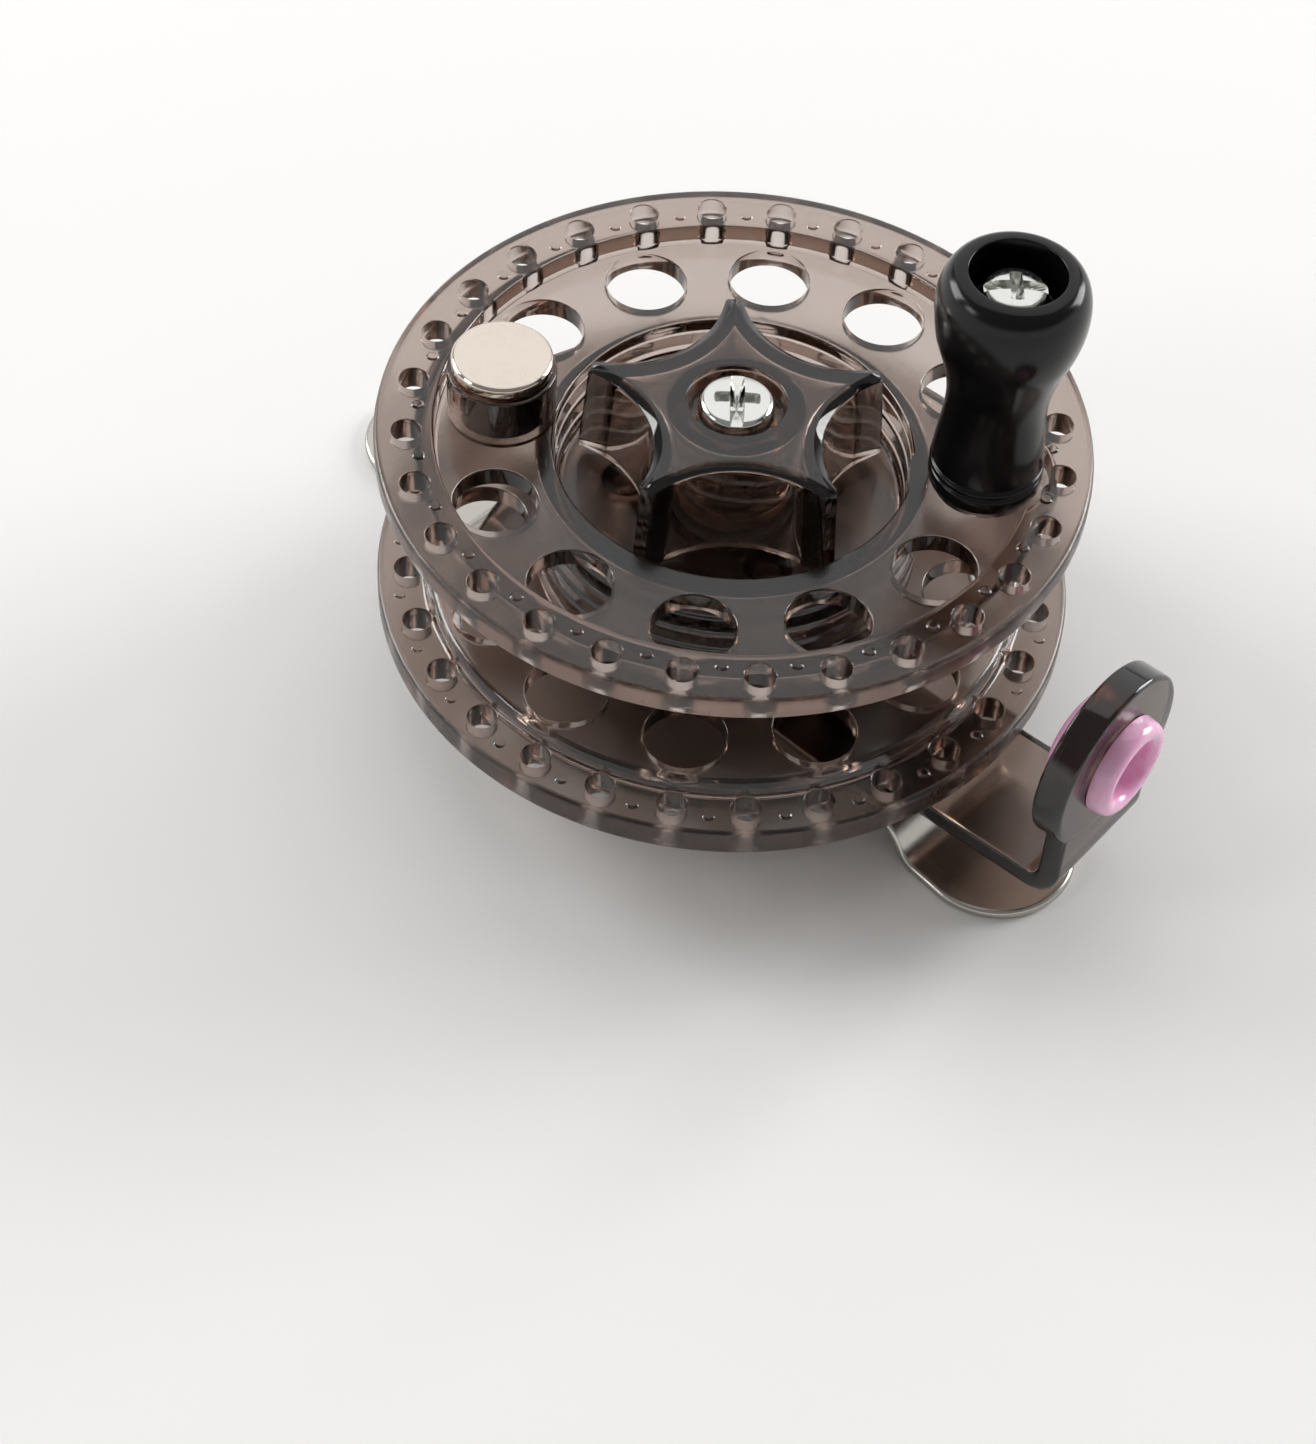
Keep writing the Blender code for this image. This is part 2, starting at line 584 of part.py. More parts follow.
def build_spool_front(parts, cutters, parent, material):
    """Front half of the spool, with the handle's boss, the weight's cup and three screw posts."""
    spool = turned("spool_front", front_profile(), ROUND_LARGE, parts, parent, material)
    seat_radius = HANDLE_NOTCH_RADIUS + HANDLE_NOTCH_WALL
    seat = cylinders("handle_seat", [(seat_radius, FRONT_WEB_BOTTOM, FRONT_WEB_TOP, handle_place())],
                     ROUND_MEDIUM, cutters)
    combine(spool, seat, 'UNION')
    notch = [(HANDLE_NOTCH_RADIUS, FRONT_WEB_TOP, FRONT_RIM_TOP + OVERRUN, handle_place())]
    combine(spool, cylinders("handle_notch", notch, ROUND_MEDIUM, cutters), 'DIFFERENCE')
    root = FRONT_WEB_TOP - WEB_THICKNESS / 2
    boss = cylinders("handle_boss", [(HANDLE_BOSS_RADIUS, root, HANDLE_BOSS_TOP, handle_place())],
                     ROUND_HIDDEN, cutters)
    cup = cylinders("weight_cup", [(CUP_RADIUS, root, CUP_TOP, weight_place())], ROUND_MEDIUM, cutters)
    post_low = REAR_WEB_TOP + GAP
    post_high = FLOOR_BOTTOM + FLOOR_THICKNESS / 2
    posts = [(SPOOL_BOSS_RADIUS, post_low, post_high, place) for place in spool_screw_places()]
    for solid in (boss, cup, cylinders("screw_posts", posts, ROUND_TINY, cutters)):
        combine(spool, solid, 'UNION')
    for holes in flange_holes("front", FRONT_WEB_BOTTOM, FRONT_RIM_TOP, web_places(), cutters):
        combine(spool, holes, 'DIFFERENCE')
    cup_bore = [(CUP_BORE_RADIUS, FRONT_WEB_TOP, CUP_TOP + OVERRUN, weight_place())]
    combine(spool, cylinders("weight_cup_bore", cup_bore, ROUND_MEDIUM, cutters), 'DIFFERENCE')
    screw_top = GEAR_BOTTOM - GAP + SPOOL_SCREW_LENGTH + GAP
    small = [(SPOOL_SCREW_RADIUS + GAP, post_low - OVERRUN, screw_top, place)
             for place in spool_screw_places()]
    small.append((HANDLE_SCREW_RADIUS + GAP, FRONT_WEB_BOTTOM - OVERRUN,
                  HANDLE_BOSS_TOP + OVERRUN, handle_place()))
    combine(spool, cylinders("front_screw_holes", small, ROUND_TINY, cutters), 'DIFFERENCE')
    return spool


def build_spool_rear(parts, cutters, parent, material):
    """Rear half of the spool, which all twelve large holes pierce."""
    spool = turned("spool_rear", rear_profile(), ROUND_LARGE, parts, parent, material)
    every = [WEB_HOLE_PHASE + k * math.tau / WEB_PLACE_COUNT for k in range(WEB_PLACE_COUNT)]
    for holes in flange_holes("rear", REAR_RIM_BOTTOM, REAR_WEB_TOP, every, cutters):
        combine(spool, holes, 'DIFFERENCE')
    small = [(SPOOL_SCREW_RADIUS + GAP, REAR_WEB_BOTTOM - OVERRUN, REAR_WEB_TOP + OVERRUN, place)
             for place in spool_screw_places()]
    combine(spool, cylinders("rear_screw_holes", small, ROUND_TINY, cutters), 'DIFFERENCE')
    return spool


def build_spool_screws(parts, spool_axis, material):
    """Three screws from behind, through the gear and the rear web into the front half's posts."""
    head_top = GEAR_BOTTOM - GAP
    profile = screw_profile(SPOOL_SCREW_HEAD_RADIUS, head_top, head_top + SPOOL_SCREW_HEAD_HEIGHT,
                            SPOOL_SCREW_RADIUS, head_top - SPOOL_SCREW_LENGTH)
    for number, place in enumerate(spool_screw_places(), start=1):
        name = "spool_screw_%d" % number
        screw = turned(name, flipped(profile, head_top), ROUND_TINY, parts, spool_axis, material,
                       closed=False)
        screw.location = place


def gear_outline():
    """Return the click gear's outline, a trapezoid for each tooth."""
    pitch = math.tau / GEAR_TEETH
    tip = pitch * GEAR_TOOTH_SHARE / 2
    root = pitch * (1.0 - GEAR_TOOTH_SHARE) / 2
    points = []
    for k in range(GEAR_TEETH):
        angle = k * pitch
        for radius, turn in ((GEAR_ROOT_RADIUS, -root), (GEAR_TIP_RADIUS, -tip),
                             (GEAR_TIP_RADIUS, tip), (GEAR_ROOT_RADIUS, root)):
            points.append(tuple(place_on_circle(radius, angle + turn)[:2]))
    return points


def build_ratchet_gear(parts, cutters, parent, material):
    """Click gear on the rear half's hub boss."""
    mesh = prism_mesh("ratchet_gear", gear_outline(), GEAR_BOTTOM, GEAR_TOP)
    gear = make_object("ratchet_gear", mesh, parts, parent, material)
    low, high = GEAR_BOTTOM - OVERRUN, GEAR_TOP + OVERRUN
    bore = cylinders("gear_bore", [(HUB_RADIUS + GAP, low, high, (0.0, 0.0))], ROUND_MEDIUM, cutters)
    small = [(SPOOL_SCREW_RADIUS + GAP, low, high, place) for place in spool_screw_places()]
    combine(gear, bore, 'DIFFERENCE')
    combine(gear, cylinders("gear_screw_holes", small, ROUND_TINY, cutters), 'DIFFERENCE')
    return gear


def build_bearing(side, low, parts, frame_axis, spool_axis, material):
    """Shielded bearing: the inner race stays on the spindle, the outer one turns."""
    high = low + BEARING_WIDTH
    inner = tube_profile(BEARING_BORE_RADIUS, BEARING_BORE_RADIUS + BEARING_INNER_WALL, low, high)
    outer = tube_profile(BEARING_OUTER_RADIUS - BEARING_OUTER_WALL, BEARING_OUTER_RADIUS, low, high)
    turned("bearing_inner_" + side, inner, ROUND_HIDDEN, parts, frame_axis, material)
    turned("bearing_outer_" + side, outer, ROUND_HIDDEN, parts, spool_axis, material)


def build_spindle(parts, cutters, parent, material):
    """Fixed spindle: thread, flange on the back plate, shoulder, journal and a hole for its screw."""
    flange_low = PLATE_TOP + GAP
    flange_high = flange_low + SPINDLE_FLANGE_THICKNESS
    bottom = FOOT_RISE - GAP - SPINDLE_NUT_HEIGHT - SPINDLE_TAIL
    profile = [
        (0.0, SPINDLE_TOP), (SPINDLE_RADIUS, SPINDLE_TOP),
        (SPINDLE_RADIUS, REAR_WEB_BOTTOM), (SPINDLE_SHOULDER_RADIUS, REAR_WEB_BOTTOM),
        (SPINDLE_SHOULDER_RADIUS, flange_high), (SPINDLE_FLANGE_RADIUS, flange_high),
        (SPINDLE_FLANGE_RADIUS, flange_low), (SPINDLE_RADIUS, flange_low),
        (SPINDLE_RADIUS, bottom), (0.0, bottom),
    ]
    spindle = turned("spindle", profile, ROUND_HIDDEN, parts, parent, material, closed=False)
    hole_low = CENTRE_HEAD_BOTTOM - CENTRE_SCREW_LENGTH - GAP
    hole = [(CENTRE_SCREW_RADIUS + GAP, hole_low, SPINDLE_TOP + OVERRUN, (0.0, 0.0))]
    return combine(spindle, cylinders("spindle_hole", hole, ROUND_SMALL, cutters), 'DIFFERENCE')


def build_nut(name, flats, low, high, bore, parts, cutters, parent, material):
    """Hexagon nut with a plain bore."""
    nut = make_object(name, prism_mesh(name, hexagon(flats), low, high), parts, parent, material)
    hole = cylinders(name + "_bore", [(bore, low - OVERRUN, high + OVERRUN, (0.0, 0.0))],
                     ROUND_SMALL, cutters)
    return combine(nut, hole, 'DIFFERENCE')


def build_circlip(parts, parent, material):
    """Open clip that keeps the front bearing down, in the hole of the well's floor."""
    inner = SPINDLE_RADIUS + GAP
    half = CIRCLIP_OPENING / 2
    outline = arc((0.0, 0.0), CIRCLIP_RADIUS, half, math.tau - half, ROUND_SMALL)
    outline += reversed(arc((0.0, 0.0), inner, half, math.tau - half, ROUND_SMALL))
    low = FLOOR_BOTTOM
    mesh = prism_mesh("bearing_circlip", outline, low, low + CIRCLIP_THICKNESS)
    return make_object("bearing_circlip", mesh, parts, parent, material)


def build_spacer(parts, parent, material):
    """Sleeve between the two inner races."""
    wall = BEARING_INNER_WALL + GAP
    profile = tube_profile(BEARING_BORE_RADIUS, BEARING_BORE_RADIUS + wall,
                           REAR_BEARING_TOP + GAP, FRONT_BEARING_BOTTOM - GAP)
    return turned("bearing_spacer", profile, ROUND_HIDDEN, parts, parent, material)


def build_drag_stack(parts, frame_axis, spool_axis, materials):
    """Felt on the spool's well floor, and the pressure washer that the spring loads."""
    felt = tube_profile(FELT_BORE_RADIUS, FELT_RADIUS, FELT_BOTTOM, FELT_BOTTOM + FELT_THICKNESS)
    turned("drag_felt", felt, ROUND_HIDDEN, parts, spool_axis, materials["felt"])
    washer = tube_profile(SPINDLE_RADIUS + GAP, PRESSURE_RADIUS, PRESSURE_BOTTOM, PRESSURE_TOP)
    turned("pressure_washer", washer, ROUND_HIDDEN, parts, frame_axis, materials["steel"])


def coil_points(radius, low, high, turns, per_turn):
    """Return the centre line of a helix."""
    count = turns * per_turn
    points = []
    for k in range(count + 1):
        angle = math.tau * k / per_turn
        height = low + (high - low) * k / count
        points.append(place_on_circle(radius, angle, height))
    return points


def curve_tube(name, points, radius, resolution, collection):
    """Return a capped tube along a POLY spline."""
    curve = bpy.data.curves.new(name, 'CURVE')
    curve.dimensions = '3D'
    curve.bevel_depth = radius
    curve.bevel_resolution = resolution
    curve.use_fill_caps = True
    spline = curve.splines.new('POLY')
    spline.points.add(len(points) - 1)
    for target, source in zip(spline.points, points):
        target.co = (*source, 1.0)
    obj = bpy.data.objects.new(name, curve)
    collection.objects.link(obj)
    return obj


def least_gap(points, radius, apart):
    """Return the least clear distance between stretches of a tube that lie apart along it."""
    nearest = min((points[i] - points[j]).length
                  for i in range(len(points)) for j in range(i + apart, len(points)))
    return nearest - 2 * radius


def build_drag_spring(parts, parent, material):
    """Coil spring between the pressure washer and the knob's insert nut."""
    low = PRESSURE_TOP + GAP + SPRING_WIRE_RADIUS
    high = INSERT_NUT_BOTTOM - GAP - SPRING_WIRE_RADIUS
    points = coil_points(SPRING_COIL_RADIUS, low, high, SPRING_TURNS, SPRING_POINTS_PER_TURN)
    spring = curve_tube("drag_spring", points, SPRING_WIRE_RADIUS, 1, parts)
    spring.parent = parent
    spring.data.materials.append(material)
    gap = least_gap(points, SPRING_WIRE_RADIUS, SPRING_POINTS_PER_TURN - 2)
    print("drag_spring: least gap to itself %.2f mm" % (gap * 1000))
    return spring


def star_outline(tip_radius, side_radius, steps):
    """Return the star's outline: concave arcs between the tips, each tip cut a little flat."""
    half = math.pi / KNOB_TIPS
    chord = tip_radius * math.sin(half)
    sag = tip_radius * math.cos(half) - side_radius
    bend = (chord ** 2 + sag ** 2) / (2 * sag)
    reach = math.asin(chord / bend)
    points = []
    for side in range(KNOB_TIPS):
        middle = KNOB_PHASE + (2 * side + 1) * half
        centre = place_on_circle(side_radius + bend, middle)
        first = reach * (1.0 - 2 * KNOB_TIP_SHARE)
        for k in range(steps + 1):
            angle = middle + math.pi + first - 2 * first * k / steps
            points.append((centre[0] + bend * math.cos(angle), centre[1] + bend * math.sin(angle)))
    return points


def tapered_mesh(name, outline, levels):
    """Extrude an outline through levels of (share of the outline's size, height), lowest first."""
    share, height = levels[0]
    bm = bmesh.new()
    base = bm.faces.new([bm.verts.new((x * share, y * share, height)) for x, y in outline])
    face = base
    for next_share, next_height in levels[1:]:
        grown = bmesh.ops.extrude_face_region(bm, geom=[face])["geom"]
        if face is not base:
            bmesh.ops.delete(bm, geom=[face], context='FACES_ONLY')
        moved = [item for item in grown if isinstance(item, bmesh.types.BMVert)]
        ratio = next_share / share
        bmesh.ops.scale(bm, verts=moved, vec=(ratio, ratio, 1.0))
        bmesh.ops.translate(bm, verts=moved, vec=(0.0, 0.0, next_height - height))
        share, height = next_share, next_height
        face = next(item for item in grown if isinstance(item, bmesh.types.BMFace))
    bmesh.ops.recalc_face_normals(bm, faces=bm.faces)
    return finish_bmesh(bm, name)


def build_star_knob(parts, cutters, parent, material):
    """Five-pointed drag knob: a drafted shell, open below, with a boss for the insert nut."""
    top = star_outline(KNOB_TIP_RADIUS, KNOB_SIDE_RADIUS, KNOB_SIDE_STEPS)
    inset = 1.0 - KNOB_BEVEL / KNOB_SIDE_RADIUS
    levels = [(KNOB_DRAFT_SHARE, KNOB_BOTTOM), (1.0, KNOB_TOP - KNOB_BEVEL), (inset, KNOB_TOP)]
    knob = make_object("star_knob", tapered_mesh("star_knob", top, levels), parts, parent, material)
    tip_loss = KNOB_WALL / math.sin(math.pi / KNOB_TIPS)
    inner = star_outline(KNOB_TIP_RADIUS - tip_loss, KNOB_SIDE_RADIUS - KNOB_WALL, KNOB_SIDE_STEPS)
    ceiling = KNOB_TOP - KNOB_WALL
    overshoot = 1.0 + (KNOB_DRAFT_SHARE - 1.0) * (KNOB_HEIGHT + OVERRUN) / KNOB_HEIGHT
    levels = [(overshoot, KNOB_BOTTOM - OVERRUN), (1.0, ceiling)]
    cavity = as_cutter(make_object("knob_cavity", tapered_mesh("knob_cavity", inner, levels), cutters))
    boss_low = KNOB_BOTTOM + KNOB_BOSS_RISE
    boss = [(KNOB_BOSS_RADIUS, boss_low, KNOB_TOP, (0.0, 0.0))]
    combine(cavity, cylinders("knob_boss", boss, ROUND_MEDIUM, cutters), 'DIFFERENCE')
    combine(knob, cavity, 'DIFFERENCE')
    spring_room = SPRING_COIL_RADIUS + SPRING_WIRE_RADIUS + GAP
    bores = [(KNOB_COUNTERBORE_RADIUS, COUNTERBORE_FLOOR, KNOB_TOP + OVERRUN, (0.0, 0.0)),
             (spring_room, boss_low - OVERRUN, INSERT_NUT_BOTTOM - GAP, (0.0, 0.0))]
    for number, rod in enumerate(bores):
        combine(knob, cylinders("knob_bore_%d" % number, [rod], ROUND_MEDIUM, cutters), 'DIFFERENCE')
    hole = [(SPINDLE_RADIUS + GAP, INSERT_NUT_BOTTOM, COUNTERBORE_FLOOR + OVERRUN, (0.0, 0.0))]
    combine(knob, cylinders("knob_hole", hole, ROUND_SMALL, cutters), 'DIFFERENCE')
    pocket = prism_mesh("nut_pocket", hexagon(INSERT_NUT_FLATS + 2 * GAP), INSERT_NUT_BOTTOM - 2 * GAP,
                        INSERT_NUT_TOP + GAP)
    combine(knob, as_cutter(make_object("nut_pocket", pocket, cutters)), 'DIFFERENCE')
    return knob


def build_centre_screw(parts, cutters, parent, material):
    """Screw in the spindle's end that stops the knob from winding off."""
    head_top = CENTRE_HEAD_BOTTOM + CENTRE_SCREW_HEAD_HEIGHT
    profile = screw_profile(CENTRE_SCREW_HEAD_RADIUS, CENTRE_HEAD_BOTTOM, head_top,
                            CENTRE_SCREW_RADIUS, CENTRE_HEAD_BOTTOM - CENTRE_SCREW_LENGTH)
    screw = turned("centre_screw", profile, ROUND_HIDDEN, parts, parent, material, closed=False)
    for slot in cross_recess("centre_recess", CENTRE_SCREW_HEAD_RADIUS, CENTRE_SCREW_HEAD_HEIGHT,
                             head_top, cutters, CENTRE_RECESS_TURN):
        combine(screw, slot, 'DIFFERENCE')
    return screw


def handle_profile():
    """Return the handle's wall: hourglass outside, cup at the top, plain bore below it."""
    outside = [(HANDLE_RADIUS * radius, HANDLE_BOTTOM + HANDLE_HEIGHT * height)
               for height, radius in HANDLE_OUTLINE_SHARES]
    inside = [(HANDLE_BORE_RADIUS, HANDLE_BOTTOM), (HANDLE_BORE_RADIUS, HANDLE_CUP_FLOOR),
              (HANDLE_MOUTH_RADIUS, HANDLE_CUP_FLOOR), (HANDLE_MOUTH_RADIUS, HANDLE_TOP)]
    return outside + inside


def build_handle(parts, cutters, handle_axis, materials):
    """Turning handle, with the sleeve that it turns on and the screw that holds both."""
    turned("handle_knob", handle_profile(), ROUND_MEDIUM, parts, handle_axis, materials["black"])
    sleeve_top = HANDLE_CUP_FLOOR + GAP
    sleeve = tube_profile(HANDLE_SCREW_RADIUS + GAP, HANDLE_SLEEVE_RADIUS, HANDLE_BOTTOM, sleeve_top)
    turned("handle_sleeve", sleeve, ROUND_SMALL, parts, handle_axis, materials["steel"])
    head_low = sleeve_top + GAP
    head_top = head_low + HANDLE_SCREW_HEAD_HEIGHT
    profile = screw_profile(HANDLE_SCREW_HEAD_RADIUS, head_low, head_top, HANDLE_SCREW_RADIUS,
                            FRONT_WEB_BOTTOM)
    screw = turned("handle_screw", profile, ROUND_SMALL, parts, handle_axis, materials["zinc"],
                   closed=False)
    for slot in cross_recess("handle_recess", HANDLE_SCREW_HEAD_RADIUS, HANDLE_SCREW_HEAD_HEIGHT,
                             head_top, cutters):
        slot.parent = handle_axis
        combine(screw, slot, 'DIFFERENCE')


def build_counterweight(parts, spool_weight, material):
    """Slug in the cup opposite the handle, with a wider head that rests on the cup's lip."""
    head_low = CUP_TOP + GAP
    head_top = head_low + WEIGHT_HEAD_HEIGHT
    body_radius = CUP_BORE_RADIUS - GAP
    profile = [
        (0.0, head_top), (WEIGHT_HEAD_RADIUS - WEIGHT_EDGE_ROUNDING, head_top),
        (WEIGHT_HEAD_RADIUS, head_top - WEIGHT_EDGE_ROUNDING), (WEIGHT_HEAD_RADIUS, head_low),
        (body_radius, head_low), (body_radius, FRONT_WEB_TOP + GAP), (0.0, FRONT_WEB_TOP + GAP),
    ]
    return turned("counterweight", profile, ROUND_MEDIUM, parts, spool_weight, material, closed=False)


def arm_outline():
    """Return the side view of the arm and the leg of its upright, as (x, z) points."""
    inner = ARM_REACH - PLATE_THICKNESS
    bend = (ARM_REACH - ARM_BEND_RADIUS, PLATE_BOTTOM + ARM_BEND_RADIUS)
    outline = [(0.0, PLATE_TOP), (0.0, PLATE_BOTTOM)]
    outline += arc(bend, ARM_BEND_RADIUS, -math.pi / 2, 0.0, ARM_BEND_STEPS)
    outline += [(ARM_REACH, GUIDE_HEIGHT), (inner, GUIDE_HEIGHT), (inner, PLATE_TOP)]
    return outline


def guide_disc(name, radius, low, high, sides, collection):
    """Return a cylinder that lies along X at the line guide's height."""
    bm = bmesh.new()
    place = Matrix.Translation(((low + high) / 2, 0.0, GUIDE_HEIGHT))
    turn = Matrix.Rotation(math.radians(90.0), 4, 'Y')
    bmesh.ops.create_cone(bm, cap_ends=True, segments=sides, radius1=radius, radius2=radius,
                          depth=high - low, matrix=place @ turn)
    return as_cutter(make_object(name, finish_bmesh(bm, name), collection))


def slider_rails(cutters):
    """Return the two rails that guide the click slider on the back plate."""
    bm = bmesh.new()
    inner = SLIDER_HALF_WIDTH + GAP
    start = SLIDER_START - SLIDER_TRAVEL
    end = SLIDER_START + SLIDER_LENGTH - SLIDER_TRAVEL
    for side in (-1, 1):
        edges = sorted((side * inner, side * (inner + RAIL_WIDTH)))
        add_block(bm, (edges[0], start, PLATE_TOP - PLATE_THICKNESS / 2), (edges[1], end, SLIDER_TOP))
    return as_cutter(make_object("slider_rails", finish_bmesh(bm, "slider_rails"), cutters))


def build_back_plate(parts, cutters, parent, material):
    """Back plate, guide arm and guide head in one, with bosses, rails, slot and holes."""
    bm = bmesh.new()
    add_cylinder(bm, PLATE_RADIUS, PLATE_BOTTOM, PLATE_TOP, ROUND_LARGE)
    plate = make_object("back_plate", finish_bmesh(bm, "back_plate"), parts, parent, material)
    arm_mesh = side_prism_mesh("guide_arm", arm_outline(), ARM_HALF_WIDTH)
    combine(plate, as_cutter(make_object("guide_arm", arm_mesh, cutters)), 'UNION')
    head_back = ARM_REACH - HEAD_THICKNESS
    combine(plate, guide_disc("guide_head", HEAD_RADIUS, head_back, ARM_REACH, ROUND_MEDIUM, cutters),
            'UNION')
    boss_low = PLATE_TOP - PLATE_THICKNESS / 2
    bosses = [(FOOT_BOSS_RADIUS, boss_low, PLATE_TOP + FOOT_BOSS_HEIGHT, place)
              for place in foot_screw_places()]
    combine(plate, cylinders("foot_bosses", bosses, ROUND_SMALL, cutters), 'UNION')
    combine(plate, slider_rails(cutters), 'UNION')
    combine(plate, guide_disc("guide_hole", RING_BODY_RADIUS + GAP, head_back - OVERRUN,
                              ARM_REACH + OVERRUN, ROUND_MEDIUM, cutters), 'DIFFERENCE')
    hole_top = FOOT_RISE - GAP + FOOT_SCREW_LENGTH + GAP
    holes = [(FOOT_SCREW_RADIUS + GAP, PLATE_BOTTOM - OVERRUN, hole_top, place)
             for place in foot_screw_places()]
    holes.append((SPINDLE_RADIUS + GAP, PLATE_BOTTOM - OVERRUN, PLATE_TOP + OVERRUN, (0.0, 0.0)))
    combine(plate, cylinders("plate_holes", holes, ROUND_SMALL, cutters), 'DIFFERENCE')
    bm = bmesh.new()
    slot_half = TAB_HALF_WIDTH + GAP
    add_block(bm, (-slot_half, TAB_PLACE - SLIDER_TRAVEL - GAP, PLATE_BOTTOM - OVERRUN),
              (slot_half, TAB_PLACE + TAB_LENGTH + GAP, PLATE_TOP + OVERRUN))
    slot = as_cutter(make_object("tab_slot", finish_bmesh(bm, "tab_slot"), cutters))
    return combine(plate, slot, 'DIFFERENCE')


def build_guide_ring(parts, parent, material):
    """Glazed ring in the guide head, flanged on both faces."""
    front = ARM_REACH + GAP
    back = ARM_REACH - HEAD_THICKNESS - GAP
    end = front + RING_FLANGE_THICKNESS
    start = back - RING_FLANGE_THICKNESS
    soft = RING_FLANGE_THICKNESS * RING_ROUNDING_SHARE
    profile = [
        (RING_BORE_RADIUS + soft, end), (RING_FLANGE_RADIUS - soft, end),
        (RING_FLANGE_RADIUS, end - soft), (RING_FLANGE_RADIUS, front), (RING_BODY_RADIUS, front),
        (RING_BODY_RADIUS, back), (RING_FLANGE_RADIUS, back), (RING_FLANGE_RADIUS, start + soft),
        (RING_FLANGE_RADIUS - soft, start), (RING_BORE_RADIUS + soft, start),
        (RING_BORE_RADIUS, start + soft), (RING_BORE_RADIUS, end - soft),
    ]
    ring = turned("guide_ring", profile, ROUND_MEDIUM, parts, parent, material)
    ring.rotation_euler = (0.0, math.radians(90.0), 0.0)
    ring.location = (0.0, 0.0, GUIDE_HEIGHT)
    return ring


def ramp_sides(ramp):
    """Return one ramp's lower and upper sides as (x, z) points, from the pad inwards."""
    top, foot = ramp
    slope = math.hypot(foot - top, FOOT_RISE)
    lean = FOOT_THICKNESS * (slope - (foot - top)) / FOOT_RISE
    under = [(foot, 0.0), (top, FOOT_RISE)]
    over = [(foot + lean, FOOT_THICKNESS), (top + lean, FOOT_RISE + FOOT_THICKNESS)]
    return under, over


def foot_side_outline():
    """Return the strip's side view as (x, z) points: pad, ramp, bridge, ramp, pad."""
    front, rear = FOOT_FRONT_END + OVERRUN, FOOT_REAR_END + OVERRUN
    front_under, front_over = ramp_sides(FOOT_FRONT_RAMP)
    rear_under, rear_over = ramp_sides(FOOT_REAR_RAMP)
    below = [(front, 0.0)] + front_under + [(-x, z) for x, z in reversed(rear_under)] + [(-rear, 0.0)]
    above = [(-rear, FOOT_THICKNESS)] + [(-x, z) for x, z in rear_over]
    return below + above + list(reversed(front_over)) + [(front, FOOT_THICKNESS)]


def foot_plan_outline():
    """Return the strip's plan as (x, y) points: round pads that narrow to the neck."""
    outline = []
    for end, ramp, facing in ((FOOT_FRONT_END, FOOT_FRONT_RAMP, 0.0),
                              (FOOT_REAR_END, FOOT_REAR_RAMP, math.pi)):
        sign = math.cos(facing)
        centre = (sign * (end - FOOT_PAD_RADIUS), 0.0)
        outline.append((sign * ramp[1], -sign * FOOT_NECK_HALF_WIDTH))
        outline += arc(centre, FOOT_PAD_RADIUS, facing - math.pi / 2, facing + math.pi / 2,
                       FOOT_END_STEPS)
        outline.append((sign * ramp[1], sign * FOOT_NECK_HALF_WIDTH))
    return outline


def foot_screw_places():
    """Return the centres of the two foot screws in the reel's frame, front first."""
    return [place_on_circle(FOOT_SCREW_PLACE, FOOT_TURN),
            place_on_circle(FOOT_SCREW_PLACE, FOOT_TURN + math.pi)]


def build_rod_foot(parts, cutters, parent, material):
    """Stamped strip that goes in the rod's reel seat."""
    turn = Matrix.Rotation(FOOT_TURN, 4, 'Z')
    mesh = side_prism_mesh("rod_foot", foot_side_outline(), FOOT_PAD_RADIUS + OVERRUN)
    mesh.transform(turn)
    foot = make_object("rod_foot", mesh, parts, parent, material)
    top = FOOT_RISE + FOOT_THICKNESS + OVERRUN
    plan = prism_mesh("foot_plan", foot_plan_outline(), -OVERRUN, top)
    plan.transform(turn)
    combine(foot, as_cutter(make_object("foot_plan", plan, cutters)), 'INTERSECT')
    low = FOOT_RISE - OVERRUN
    holes = [(FOOT_SCREW_RADIUS + GAP, low, top, place) for place in foot_screw_places()]
    holes.append((SPINDLE_RADIUS + GAP, low, top, (0.0, 0.0)))
    return combine(foot, cylinders("foot_holes", holes, ROUND_SMALL, cutters), 'DIFFERENCE')


def build_foot_screws(parts, frame_axis, material):
    """Two screws from below, through the bridge into the back plate's bosses."""
    head_top = FOOT_RISE - GAP
    profile = screw_profile(FOOT_SCREW_HEAD_RADIUS, head_top, head_top + FOOT_SCREW_HEAD_HEIGHT,
                            FOOT_SCREW_RADIUS, head_top - FOOT_SCREW_LENGTH)
    for name, place in zip(("foot_screw_front", "foot_screw_rear"), foot_screw_places()):
        screw = turned(name, flipped(profile, head_top), ROUND_SMALL, parts, frame_axis, material,
                       closed=False)
        screw.location = place


